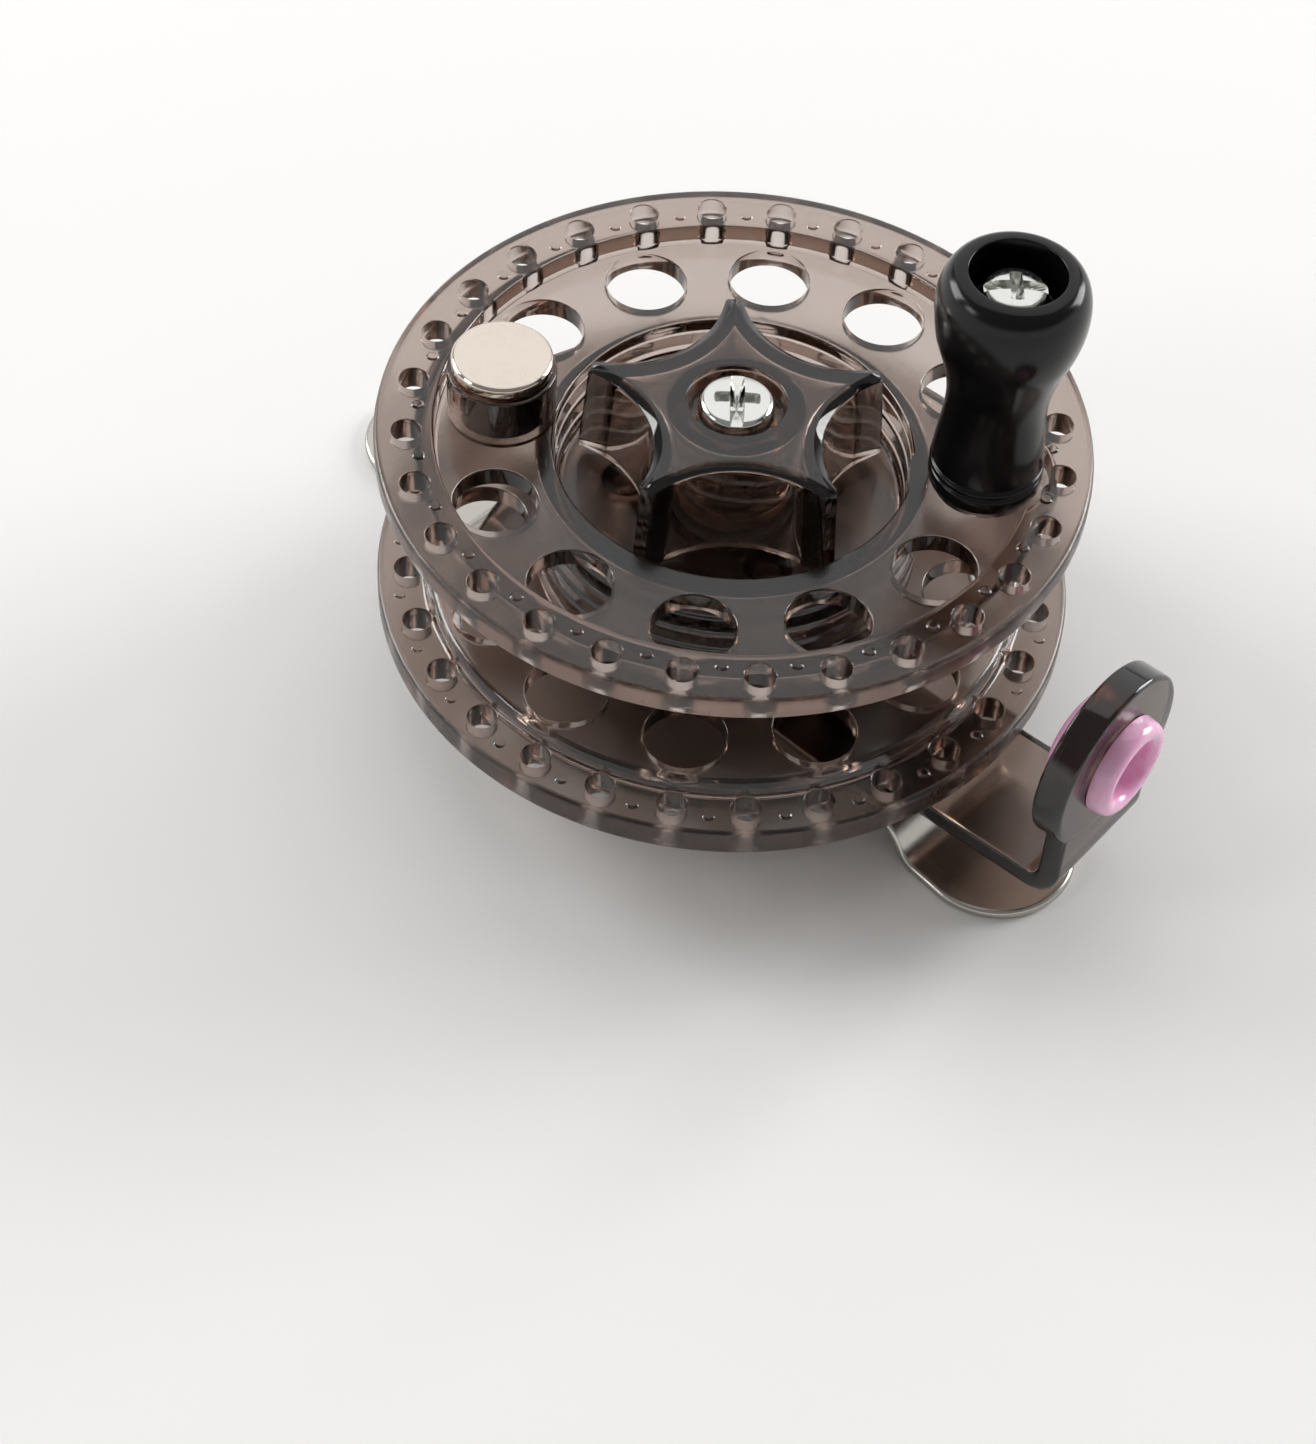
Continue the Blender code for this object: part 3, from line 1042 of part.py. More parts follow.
def build_click_slider(parts, cutters, slider_axis, material):
    """Slider on the back plate, with its thumb tab below and the pawl's post above."""
    bm = bmesh.new()
    add_block(bm, (-SLIDER_HALF_WIDTH, SLIDER_START, SLIDER_BOTTOM),
              (SLIDER_HALF_WIDTH, SLIDER_START + SLIDER_LENGTH, SLIDER_TOP))
    slider = make_object("click_slider", finish_bmesh(bm, "click_slider"), parts, slider_axis, material)
    middle = SLIDER_BOTTOM + SLIDER_THICKNESS / 2
    bm = bmesh.new()
    add_block(bm, (-TAB_HALF_WIDTH, TAB_PLACE, PLATE_BOTTOM - TAB_DROP),
              (TAB_HALF_WIDTH, TAB_PLACE + TAB_LENGTH, middle))
    combine(slider, as_cutter(make_object("slider_tab", finish_bmesh(bm, "slider_tab"), cutters)), 'UNION')
    post_top = PAWL_BOTTOM + PAWL_THICKNESS
    posts = [(PAWL_POST_RADIUS, middle, post_top, (0.0, PAWL_PIVOT)),
             (PAWL_SPRING_POST_RADIUS, middle, post_top, (0.0, PAWL_PIVOT + PAWL_SPRING_POST))]
    return combine(slider, cylinders("slider_posts", posts, ROUND_TINY, cutters), 'UNION')


def build_click_pawl(parts, cutters, pawl_axis, material):
    """Pawl on the slider's post, drawn about its own pivot, with its tip towards the gear."""
    tip = PAWL_TIP - PAWL_PIVOT
    flat = PAWL_HALF_WIDTH * PAWL_TIP_SHARE
    outline = [(-flat, tip), (flat, tip), (PAWL_HALF_WIDTH, -PAWL_HEEL),
               (PAWL_HALF_WIDTH, PAWL_HEEL), (PAWL_TAIL_HALF_WIDTH, PAWL_HEEL),
               (PAWL_TAIL_HALF_WIDTH, PAWL_TAIL_END), (-PAWL_TAIL_HALF_WIDTH, PAWL_TAIL_END),
               (-PAWL_TAIL_HALF_WIDTH, PAWL_HEEL), (-PAWL_HALF_WIDTH, PAWL_HEEL),
               (-PAWL_HALF_WIDTH, -PAWL_HEEL)]
    high = PAWL_BOTTOM + PAWL_THICKNESS
    mesh = prism_mesh("click_pawl", outline, PAWL_BOTTOM, high)
    pawl = make_object("click_pawl", mesh, parts, pawl_axis, material)
    hole = cylinders("pawl_hole", [(PAWL_POST_RADIUS + GAP, PAWL_BOTTOM - OVERRUN, high + OVERRUN,
                                    (0.0, 0.0))], ROUND_TINY, cutters)
    hole.parent = pawl_axis
    return combine(pawl, hole, 'DIFFERENCE')


def build_pawl_spring(parts, slider_axis, material):
    """Hairpin round its post on the slider, whose legs hold the pawl's tail."""
    half = PAWL_SPRING_POST_RADIUS + GAP + PAWL_SPRING_RADIUS
    end = PAWL_PIVOT + PAWL_SPRING_POST
    height = PAWL_BOTTOM + PAWL_THICKNESS / 2
    start = PAWL_PIVOT + PAWL_HEEL + GAP + PAWL_SPRING_RADIUS
    bend = arc((0.0, end), half, 0.0, math.pi, PAWL_SPRING_STEPS)
    flat = [(half, start)] + bend + [(-half, start)]
    points = [Vector((x, y, height)) for x, y in flat]
    spring = curve_tube("pawl_spring", points, PAWL_SPRING_RADIUS, 2, parts)
    spring.parent = slider_axis
    spring.data.materials.append(material)
    return spring


def make_materials():
    """Return the finishes by short name."""
    return {
        "smoke": make_material("smoky_polycarbonate", (0.16, 0.13, 0.12), 0.15, alpha=0.6),
        "black": make_material("black_nylon", (0.012, 0.012, 0.013), 0.28),
        "steel": make_material("stainless_steel", (0.60, 0.57, 0.53), 0.30, 1.0),
        "zinc": make_material("zinc_plated_steel", (0.80, 0.81, 0.82), 0.22, 1.0),
        "chrome": make_material("nickel_plated_brass", (0.82, 0.80, 0.77), 0.12, 1.0),
        "ceramic": make_material("pink_ceramic", (0.68, 0.30, 0.54), 0.12),
        "brass": make_material("brass", (0.70, 0.50, 0.22), 0.30, 1.0),
        "felt": make_material("grey_felt", (0.10, 0.09, 0.08), 0.95),
        "acetal": make_material("black_acetal", (0.02, 0.02, 0.02), 0.40),
    }


def main():
    """Build every piece of the reel."""
    clear_scene()
    parts = make_collection("fly_reel")
    cutters = make_collection("cutters")
    finishes = make_materials()
    frame_axis = make_empty("frame_axis", parts, (0.0, 0.0, 0.0))
    spool_axis = make_empty("spool_axis", parts, (0.0, 0.0, 0.0), frame_axis)
    knob_axis = make_empty("knob_axis", parts, (0.0, 0.0, 0.0), frame_axis)
    slider_axis = make_empty("slider_axis", parts, (0.0, 0.0, 0.0), frame_axis)
    pawl_axis = make_empty("pawl_axis", parts, (0.0, PAWL_PIVOT, 0.0), slider_axis)
    handle_axis = make_empty("handle_axis", parts, handle_place(), spool_axis)
    weight_axis = make_empty("weight_axis", parts, weight_place(), spool_axis)

    build_rod_foot(parts, cutters, frame_axis, finishes["steel"])
    build_back_plate(parts, cutters, frame_axis, finishes["smoke"])
    build_guide_ring(parts, frame_axis, finishes["ceramic"])
    build_foot_screws(parts, frame_axis, finishes["zinc"])
    build_spindle(parts, cutters, frame_axis, finishes["steel"])
    nut_top = FOOT_RISE - GAP
    build_nut("spindle_nut", SPINDLE_NUT_FLATS, nut_top - SPINDLE_NUT_HEIGHT, nut_top,
              SPINDLE_RADIUS + GAP, parts, cutters, frame_axis, finishes["zinc"])
    build_bearing("rear", REAR_BEARING_BOTTOM, parts, frame_axis, spool_axis, finishes["steel"])
    build_bearing("front", FRONT_BEARING_BOTTOM, parts, frame_axis, spool_axis, finishes["steel"])
    build_spacer(parts, frame_axis, finishes["brass"])
    build_circlip(parts, frame_axis, finishes["steel"])

    build_spool_front(parts, cutters, spool_axis, finishes["smoke"])
    build_spool_rear(parts, cutters, spool_axis, finishes["smoke"])
    build_ratchet_gear(parts, cutters, spool_axis, finishes["acetal"])
    build_spool_screws(parts, spool_axis, finishes["zinc"])
    build_handle(parts, cutters, handle_axis, finishes)
    build_counterweight(parts, weight_axis, finishes["chrome"])

    build_drag_stack(parts, frame_axis, spool_axis, finishes)
    build_drag_spring(parts, frame_axis, finishes["steel"])
    build_star_knob(parts, cutters, knob_axis, finishes["smoke"])
    build_nut("knob_insert_nut", INSERT_NUT_FLATS, INSERT_NUT_BOTTOM, INSERT_NUT_TOP,
              SPINDLE_RADIUS + GAP, parts, cutters, knob_axis, finishes["brass"])
    build_centre_screw(parts, cutters, frame_axis, finishes["zinc"])

    build_click_slider(parts, cutters, slider_axis, finishes["acetal"])
    build_click_pawl(parts, cutters, pawl_axis, finishes["acetal"])
    build_pawl_spring(parts, slider_axis, finishes["steel"])


main()
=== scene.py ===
# %% [markdown]
# # A smoky fly reel, dressed piece by piece
# The reel lies on the two pads of its steel foot. Its spool is smoky clear plastic,
# its handle black, its ring pink ceramic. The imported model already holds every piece
# at its place, so this file only has to give each one the shape and finish that the
# eye expects up close. Shapes are worked out in millimetres, and one function turns
# them into metres when it writes a mesh; camera, floor and lamps are in metres.

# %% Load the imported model
import math

import bmesh
import bpy
import numpy as np
from mathutils import Matrix, Vector


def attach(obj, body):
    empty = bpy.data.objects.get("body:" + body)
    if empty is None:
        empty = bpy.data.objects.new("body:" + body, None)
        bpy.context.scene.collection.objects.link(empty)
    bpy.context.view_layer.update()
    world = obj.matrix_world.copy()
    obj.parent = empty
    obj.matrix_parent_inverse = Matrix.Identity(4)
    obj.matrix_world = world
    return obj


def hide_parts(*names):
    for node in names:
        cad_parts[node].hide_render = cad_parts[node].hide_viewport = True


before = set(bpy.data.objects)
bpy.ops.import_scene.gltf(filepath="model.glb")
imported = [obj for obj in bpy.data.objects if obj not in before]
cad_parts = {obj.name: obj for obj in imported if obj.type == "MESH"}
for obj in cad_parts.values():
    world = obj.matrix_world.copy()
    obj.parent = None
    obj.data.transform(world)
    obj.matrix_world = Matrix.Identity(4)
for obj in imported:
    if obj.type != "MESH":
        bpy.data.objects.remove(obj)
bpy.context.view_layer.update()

# %% [markdown]
# ## Camera
# The photograph was taken from above the guide's left, fairly close, so the far side
# of the spool looks smaller. The place and the turn were worked out from the round
# rims in the picture. The sensor's width lies along the longer side of the frame.

# %% Place the camera
LONG_SIDE = 1444        # pixels of the photograph
FOCAL_PIXELS = 3227.0

camera = bpy.data.objects.new("camera", bpy.data.cameras.new("camera"))
bpy.context.scene.collection.objects.link(camera)
camera.data.sensor_width = 36.0
camera.data.lens = FOCAL_PIXELS * camera.data.sensor_width / LONG_SIDE
camera.data.clip_start = 0.01
camera.data.clip_end = 20.0
right, up, back = (0.7646, 0.6429, 0.0450), (-0.5146, 0.5675, 0.6434), (0.388, -0.515, 0.765)
turn_to_view = Matrix((right, up, back)).transposed().to_quaternion()
camera.rotation_mode = 'QUATERNION'
camera.rotation_quaternion = turn_to_view
camera.location = (0.1118, -0.1562, 0.2171)
bpy.context.scene.camera = camera
print("lens in mm:", round(camera.data.lens, 2))

# %% [markdown]
# ## Small helpers for materials
# A colour picked from a screen is sRGB, while Blender's shaders work with linear
# light, so one function converts the hex values. Another adds a node, sets its
# properties and fills or links its inputs. The last starts a material: its Principled
# shader, with the sockets that stay constant.

# %% Helpers for colours and nodes
def linear(hex_colour):
    """Turn an sRGB hex colour into linear RGBA: divide by 12.92 when dark, else a power of 2.4."""
    srgb = [int(hex_colour[k:k + 2], 16) / 255 for k in (1, 3, 5)]
    return (*[c / 12.92 if c < 0.04045 else ((c + 0.055) / 1.055) ** 2.4 for c in srgb], 1.0)


def add_node(tree, kind, inputs=None, **settings):
    """Add a shader node with its settings, and fill or link its inputs. A node that is given as
    an input is linked by its first output."""
    node = tree.nodes.new('ShaderNode' + kind)
    for name, value in settings.items():
        setattr(node, name, value)
    for key, value in (inputs or {}).items():
        if isinstance(value, bpy.types.Node):
            value = value.outputs[0]
        if isinstance(value, bpy.types.NodeSocket):
            tree.links.new(value, node.inputs[key])
        else:
            node.inputs[key].default_value = value
    return node


def ranged(value, low, high, start=0.3, end=0.7):
    """Return a Map Range node's inputs; start..end, a noise's usual values, become low..high."""
    return {"Value": value, "From Min": start, "From Max": end, "To Min": low, "To Max": high}


def start_finish(name, colour, roughness, **sockets):
    """Start a material. Sockets are written with _ for a space, such as Coat_Weight."""
    material = bpy.data.materials.new(name)
    material.use_nodes = True
    tree = material.node_tree
    shader = tree.nodes["Principled BSDF"]
    shader.inputs["Base Color"].default_value = linear(colour)
    shader.inputs["Roughness"].default_value = roughness
    for key, value in sockets.items():
        shader.inputs[key.replace("_", " ")].default_value = value
    print("finish", name)
    return material, tree, shader


# %% [markdown]
# ## Floor and light
# Clear plastic shows what lies behind it, so the surroundings matter more than usual.
# The floor is one pale sheet. A broad softbox hangs where the flat faces mirror it to
# the camera, which gives the satin plastic its even grey sheen; three smaller ones at
# the sides and in front draw the highlights on the handle. The world fills the rest,
# weaker towards the horizon, so that metal and black plastic have something dark to
# reflect. The floor is matt round the reel, where it takes the shadow, and fades to
# plain white far from it, so the background is pale from every side; what the camera
# sees past it is white too.

# %% Floor
def ray_kinds(tree):
    """Return what is 1 for the camera's rays, and what is 1 for rays that gloss or glass sends."""
    path = add_node(tree, 'LightPath')
    sent = add_node(tree, 'Math', {0: path.outputs["Is Glossy Ray"],
                                   1: path.outputs["Is Transmission Ray"]}, operation='MAXIMUM')
    return path.outputs["Is Camera Ray"], sent


def make_floor(half=2.0, matt_to=0.12, white_from=0.6):
    """Lay a matt square on Z = 0, plain white from a distance on; all lengths in metres."""
    mesh = bpy.data.meshes.new("floor")
    corners = [(-half, -half, 0.0), (half, -half, 0.0), (half, half, 0.0), (-half, half, 0.0)]
    mesh.from_pydata(corners, [], [(0, 1, 2, 3)])
    floor = bpy.data.objects.new("floor", mesh)
    bpy.context.scene.collection.objects.link(floor)
    material, tree, shader = start_finish("matt_white_card", "#fbfaf8", 0.9,
                                          Specular_IOR_Level=0.2)
    place = add_node(tree, 'TexCoord')
    away = add_node(tree, 'VectorMath', {0: place.outputs["Object"]}, operation='LENGTH')
    far = add_node(tree, 'MapRange', ranged(away.outputs["Value"], 0.0, 1.0, matt_to, white_from),
                   interpolation_type='SMOOTHSTEP')
    from_camera, sent = ray_kinds(tree)
    seen = add_node(tree, 'Math', {0: from_camera, 1: sent}, operation='MAXIMUM')
    share = add_node(tree, 'Math', {0: far, 1: seen}, operation='MULTIPLY')
    white = add_node(tree, 'Emission', {"Color": linear("#ffffff"), "Strength": 1.0})
    mix = add_node(tree, 'MixShader', {0: share, 1: shader, 2: white})
    tree.links.new(mix.outputs[0], tree.nodes["Material Output"].inputs["Surface"])
    mesh.materials.append(material)


make_floor()
print("floor ready")


# %% World and lamps
def light_world(strength, side_share):
    """Fill light that fades towards the horizon; the camera sees white, and so do gloss and
    clear plastic where they look level, at the wall behind the reel."""
    world = bpy.data.worlds.new("studio")
    bpy.context.scene.world = world
    world.use_nodes = True
    tree = world.node_tree
    tree.nodes.clear()
    place = add_node(tree, 'TexCoord')
    split = add_node(tree, 'SeparateXYZ', {"Vector": place.outputs["Generated"]})
    fade = add_node(tree, 'MapRange',
                    ranged(split.outputs["Z"], strength * side_share, strength, -0.1, 0.8))
    soft = add_node(tree, 'Background', {"Color": linear("#ffffff"), "Strength": fade})
    white = add_node(tree, 'Background', {"Color": linear("#ffffff"), "Strength": 1.0})
    from_camera, sent = ray_kinds(tree)
    level = add_node(tree, 'MapRange', ranged(split.outputs["Z"], 1.0, 0.0, 0.12, 0.3))
    wall = add_node(tree, 'Math', {0: sent, 1: level}, operation='MULTIPLY')
    seen = add_node(tree, 'Math', {0: from_camera, 1: wall}, operation='MAXIMUM')
    mix = add_node(tree, 'MixShader', {0: seen, 1: soft, 2: white})
    add_node(tree, 'OutputWorld', {"Surface": mix})


REEL_MIDDLE = Vector((0.0, 0.0, 0.015))   # m


def add_lamp(name, place, size, power):
    """Add a square lamp that faces the reel; lengths in metres, power in watts."""
    data = bpy.data.lights.new(name, 'AREA')
    data.size = size
    data.energy = power
    lamp = bpy.data.objects.new(name, data)
    lamp.location = place
    lamp.rotation_mode = 'QUATERNION'
    lamp.rotation_quaternion = (REEL_MIDDLE - Vector(place)).to_track_quat('-Z', 'Y')
    bpy.context.scene.collection.objects.link(lamp)
    print(name, power, "W")


light_world(0.25, 0.7)
add_lamp("softbox_above", (-0.51, 0.64, 1.00), 1.68, 7.8)
add_lamp("window_left", (-1.06, -0.29, 0.48), 0.58, 8.8)
add_lamp("window_right", (0.45, 1.02, 0.42), 0.58, 9.8)
add_lamp("window_front", (-0.62, -0.90, 0.53), 0.30, 1.5)

# %% [markdown]
# ## Finishes
# Each finish starts from the real material and how its surface was made, and adds the
# pattern that its making leaves on it. Patterns are sized in real millimetres.

# %% Patterns, roughness and bumps
MM = 0.001   # m


def per_mm(size):
    """Return the noise scale that draws features of a size in mm on object coordinates."""
    return 1.0 / (size * MM)


def noise(tree, size, detail=3.0, stretch=(1.0, 1.0, 1.0)):
    """Draw a noise on object coordinates: grains of a size in mm, times a stretch per axis."""
    place = add_node(tree, 'TexCoord')
    scaled = add_node(tree, 'Mapping', {"Vector": place.outputs["Object"],
                                        "Scale": [1.0 / s for s in stretch]})
    return add_node(tree, 'TexNoise', {"Vector": scaled, "Scale": per_mm(size), "Detail": detail})


def bumped(tree, shader, height, depth):
    """Tilt the surface by a height field, depth mm from its lowest to its highest value."""
    bump = add_node(tree, 'Bump', {"Height": height, "Distance": depth * MM, "Strength": 1.0})
    tree.links.new(bump.outputs["Normal"], shader.inputs["Normal"])


def grained(name, colour, roughness, wear=(), bump=(), stretch=(1.0, 1.0, 1.0), **sockets):
    """Make a finish from two noises. wear is the first one's size, detail, and lowest and highest
    roughness; bump is the other one's size, detail and depth. Sizes and depth are in mm."""
    material, tree, shader = start_finish(name, colour, roughness, **sockets)
    if wear:
        size, detail, low, high = wear
        rough = add_node(tree, 'MapRange', ranged(noise(tree, size, detail, stretch), low, high))
        tree.links.new(rough.outputs["Result"], shader.inputs["Roughness"])
    if bump:
        size, detail, depth = bump
        bumped(tree, shader, noise(tree, size, detail, stretch), depth)
    return material


# %% [markdown]
# ### Smoky polycarbonate
# The spool, the back plate and the star knob are injection moulded from clear
# polycarbonate with a brown grey dye. Light that crosses 2 mm of it loses nearly half
# of its red and more of its blue. A tinted surface colour would darken each crossing
# by the same amount; a Volume Absorption darkens it with thickness, which is why the
# hub looks almost black and the thin rim pale. Polycarbonate bends light with an IOR
# of 1.585. The mould's flat faces are spark eroded to a fine satin and its round walls
# are polished, so a number on each face, called satin, says which of the two it has.
# The rim's edge, where the mould's halves meet, is rougher still.
# The satin's grain is really 0.03 mm; it is drawn at 0.12 mm so that it still shows.
# The back plate and its arm have a deeper tint of the same plastic.

# %% Smoky polycarbonate
def smoky_polycarbonate(name, density):
    """Clear plastic that absorbs light along its path, satin or polished."""
    material, tree, shader = start_finish(name, "#ffffff", 0.05, IOR=1.585,
                                          Transmission_Weight=1.0)
    satin = add_node(tree, 'Attribute', attribute_name="satin").outputs["Fac"]
    grain, haze = noise(tree, 0.12, 2.0), noise(tree, 4.0, 4.0)
    wall = add_node(tree, 'MapRange', ranged(haze, 0.02, 0.08))
    flat = add_node(tree, 'MapRange', ranged(haze, 0.14, 0.22))
    rough = add_node(tree, 'Mix', {"Factor": satin, "A": wall, "B": flat}, clamp_factor=False)
    tree.links.new(rough.outputs["Result"], shader.inputs["Roughness"])
    height = add_node(tree, 'Math', {0: grain, 1: satin}, operation='MULTIPLY')
    bumped(tree, shader, height, 0.004)
    dye = add_node(tree, 'VolumeAbsorption', {"Color": (0.34, 0.145, 0.035, 1.0),
                                              "Density": density})
    tree.links.new(dye.outputs["Volume"], tree.nodes["Material Output"].inputs["Volume"])
    return material


SMOKE = smoky_polycarbonate("smoky_polycarbonate_moulded", 435.0)
DEEP_SMOKE = smoky_polycarbonate("smoky_polycarbonate_deep_tint", 700.0)


# %% [markdown]
# ### Black plastics
# The handle is black nylon from a polished mould, so it is glossy with a faint orange
# peel and a few duller patches from use. The click parts are black acetal, which is
# waxier and never as shiny.

# %% Black plastics
NYLON = grained("black_nylon_polished_mould", "#0a0a0b", 0.18, wear=(3.0, 5.0, 0.14, 0.22),
                bump=(0.6, 2.0, 0.002), IOR=1.45, Specular_IOR_Level=0.36)
ACETAL = grained("black_acetal_moulded", "#1b1b1d", 0.4, bump=(0.3, 3.0, 0.006), IOR=1.48)

# %% [markdown]
# ### Metals
# The screws are bright zinc plated and finely uneven. The foot is stamped from rolled
# stainless strip, whose grain runs along X. Turned brass has a slight tarnish. The
# counterweight is brass too, with a nickel plating on its head only, and fine grooves
# round its middle; below the head, inside the cup, its brass is painted dark as
# painted shade. The grooves are narrower than a pixel, where a Bump node gives
# nothing, so they lean the normal itself: outwards or inwards by a noise that depends
# only on the distance from the middle. Grooves and grain are really about 0.02 mm wide;
# they are drawn about five times as wide, so that they still show.

# %% Metals
ZINC = grained("zinc_plated_steel_bright", "#dcdcd8", 0.2, wear=(0.35, 4.0, 0.08, 0.24),
               bump=(0.35, 4.0, 0.003), Metallic=1.0)
STAINLESS = grained("stainless_steel_rolled", "#bbb7b1", 0.26, wear=(0.15, 3.0, 0.22, 0.27),
                    bump=(0.15, 3.0, 0.0003), stretch=(8.0, 1.0, 1.0), Metallic=1.0)
BRASS = grained("brass_turned", "#b8924f", 0.3, wear=(1.5, 4.0, 0.22, 0.45), Metallic=1.0)

WEIGHT_AXIS = (-0.01702, -0.01002)   # m
# Below the first height the slug's colour is painted shade: dark brass for the shade inside the
# cup.
SHADED_UP_TO, NICKELLED = 0.0311, 0.0312     # m; painted dark brass, as painted shade in the cup, up to the first height; plated from the second


def head_colour(tree, shader, place, shaded_brass, plated):
    """Paint the slug dark brass up to the head, as painted shade inside the cup, and plated from
    there on.
    """
    height = add_node(tree, 'SeparateXYZ', {"Vector": place.outputs["Object"]})
    above = add_node(tree, 'MapRange', ranged(height.outputs["Z"], 0.0, 1.0, SHADED_UP_TO, NICKELLED))
    tint = add_node(tree, 'Mix', {"Factor": above, "A": linear(shaded_brass), "B": linear(plated)},
                    data_type='RGBA')
    tree.links.new(tint.outputs["Result"], shader.inputs["Base Color"])


def turned_grooves(tree, shader, place, width, most):
    """Lean the normal along the radius, by a noise of the distance from the slug's axis."""
    centred = add_node(tree, 'Mapping', {"Vector": place.outputs["Object"],
                                         "Location": (-WEIGHT_AXIS[0], -WEIGHT_AXIS[1], 0.0)})
    level = add_node(tree, 'VectorMath', {0: centred, 1: (1.0, 1.0, 0.0)}, operation='MULTIPLY')
    radius = add_node(tree, 'VectorMath', {0: level}, operation='LENGTH')
    groove = add_node(tree, 'TexNoise', {"W": radius.outputs["Value"], "Scale": per_mm(width),
                                         "Detail": 1.0}, noise_dimensions='1D')
    lean = add_node(tree, 'MapRange', ranged(groove, -most, most))
    outward = add_node(tree, 'VectorMath', {0: level}, operation='NORMALIZE')
    sideways = add_node(tree, 'VectorMath', {0: outward, "Scale": lean}, operation='SCALE')
    straight = add_node(tree, 'NewGeometry').outputs["Normal"]
    tilted = add_node(tree, 'VectorMath', {0: straight, 1: sideways}, operation='ADD')
    normal = add_node(tree, 'VectorMath', {0: tilted}, operation='NORMALIZE')
    tree.links.new(normal.outputs[0], shader.inputs["Normal"])


def rubbed_nickel():
    """Nickel plating over fine turned grooves, which draw the highlight out to a bow tie."""
    material, tree, shader = start_finish("nickel_plated_brass_turned", "#ddd2c6", 0.2,
                                          Metallic=1.0)
    satin = add_node(tree, 'Attribute', attribute_name="satin").outputs["Fac"]
    patch = add_node(tree, 'MapRange', ranged(noise(tree, 1.2, 4.0), 0.16, 0.34))
    rough = add_node(tree, 'Mix', {"Factor": satin, "A": 0.1, "B": patch})
    tree.links.new(rough.outputs["Result"], shader.inputs["Roughness"])
    place = add_node(tree, 'TexCoord')
    # 4a4039 is painted shade: the slug below its head is coloured dark for the shade in the cup.
    head_colour(tree, shader, place, "#4a4039", "#ddd2c6")
    turned_grooves(tree, shader, place, 0.08, 0.2)
    return material


NICKEL = rubbed_nickel()


# %% [markdown]
# ### Ceramic and felt
# The line runs over a ring of pink alumina, fired and polished: hard, glossy and a
# little translucent, so light spreads inside it. The drag felt is pressed wool.

# %% Ceramic and felt
def pink_ceramic():
    """Polished pink alumina."""
    material, tree, shader = start_finish("pink_alumina_ceramic_polished", "#e5a8d0", 0.1, IOR=1.7,
                                          Subsurface_Weight=0.15, Subsurface_Scale=0.0006)
    cloud = add_node(tree, 'MapRange', ranged(noise(tree, 1.2), 0.0, 1.0))
    mix = add_node(tree, 'Mix', {"Factor": cloud, "A": linear("#f4aed8"), "B": linear("#fcc8e8")},
                   data_type='RGBA')
    tree.links.new(mix.outputs["Result"], shader.inputs["Base Color"])
    return material


CERAMIC = pink_ceramic()
FELT = grained("grey_wool_felt_pressed", "#5a5550", 0.95, bump=(0.12, 5.0, 0.06), Sheen_Weight=0.4)

# %% [markdown]
# ## How the shapes are made
# Nearly every piece of a reel is turned or moulded round an axis. Blender could spin
# an edge or use the Screw modifier; here a profile is carried round as one numpy
# array, because the same function then also makes the star knob and the nuts, whose
# radius changes with the angle. Corners are softened in the profile itself, since
# moulded and turned edges are never sharp, and a thin bright line along an edge is
# what makes a small object look real.

# %% Soft profiles
SAME_POINT = 1e-4   # mm; points closer than this are one


def soften(corners, steps=4):
    """Round the corners of a profile.

    A corner is (radius, height, softness) in mm, and its radius may be an array, one
    value for each column. Each corner becomes a parabola between the two points that
    lie the softness away from it along its sides, or half the side if that is less.
    """
    columns = max(np.size(radius) for radius, height, softness in corners)
    points = np.array([np.stack([np.broadcast_to(radius, columns), np.full(columns, height)], -1)
                       for radius, height, softness in corners], float)
    soft = np.array([softness for radius, height, softness in corners])[:, None, None]
    before, after = np.roll(points, 1, 0) - points, np.roll(points, -1, 0) - points
    length_before = np.linalg.norm(before, axis=-1, keepdims=True)
    length_after = np.linalg.norm(after, axis=-1, keepdims=True)
    start = points + before * np.minimum(soft / np.maximum(length_before, 1e-9), 0.5)
    end = points + after * np.minimum(soft / np.maximum(length_after, 1e-9), 0.5)
    t = np.linspace(0.0, 1.0, steps)[None, :, None, None]
    arcs = ((1 - t) ** 2 * start[:, None] + 2 * t * (1 - t) * points[:, None]
            + t ** 2 * end[:, None])
    rows = arcs.reshape(-1, columns, 2)
    moved = np.linalg.norm(rows - np.roll(rows, 1, 0), axis=-1).max(axis=1)
    return rows[moved > SAME_POINT]


# %% Skins: grids of points joined with quads
def skin(rows, closed=True):
    """Join a grid of points with quads. Rows are loops; closed joins the last to the first."""
    count, around = rows.shape[:2]
    index = np.arange(count * around).reshape(count, around)
    if closed:
        index = np.vstack([index, index[:1]])
    beside = np.roll(index, -1, axis=1)
    quads = np.stack([index[:-1], beside[:-1], beside[1:], index[1:]], -1).reshape(-1, 4)
    return rows.reshape(-1, 3), quads


def capped(rows):
    """Close both ends of a tube, a row of points for each ring, with a point in their middle."""
    first, last = [np.broadcast_to(ring.mean(axis=0), rows[:1].shape) for ring in rows[[0, -1]]]
    return skin(np.concatenate([first, rows, last]), closed=False)


def turn(profile, angles, closed=True):
    """Carry a profile round the Z axis: x = r cos a, y = r sin a, at each angle a."""
    radius, height = profile[..., 0], profile[..., 1]
    x, y = radius * np.cos(angles), radius * np.sin(angles)
    return skin(np.stack([x, y, np.broadcast_to(height, x.shape)], -1), closed)


def around(steps):
    """Return evenly spaced angles round a circle."""
    return np.arange(steps) * math.tau / steps


def copies(one_skin, centres):
    """Repeat a skin at several centres."""
    points, quads = one_skin
    shifts = np.array([(x, y, 0.0) for x, y in centres])
    every = (points[None] + shifts[:, None]).reshape(-1, 3)
    steps = np.arange(len(shifts))[:, None, None] * len(points)
    return every, (quads[None] + steps).reshape(-1, 4)


WELD = 2e-7         # m; points closer than this become one, such as those of a pole
AXIS = [(0.0, 0.0)]


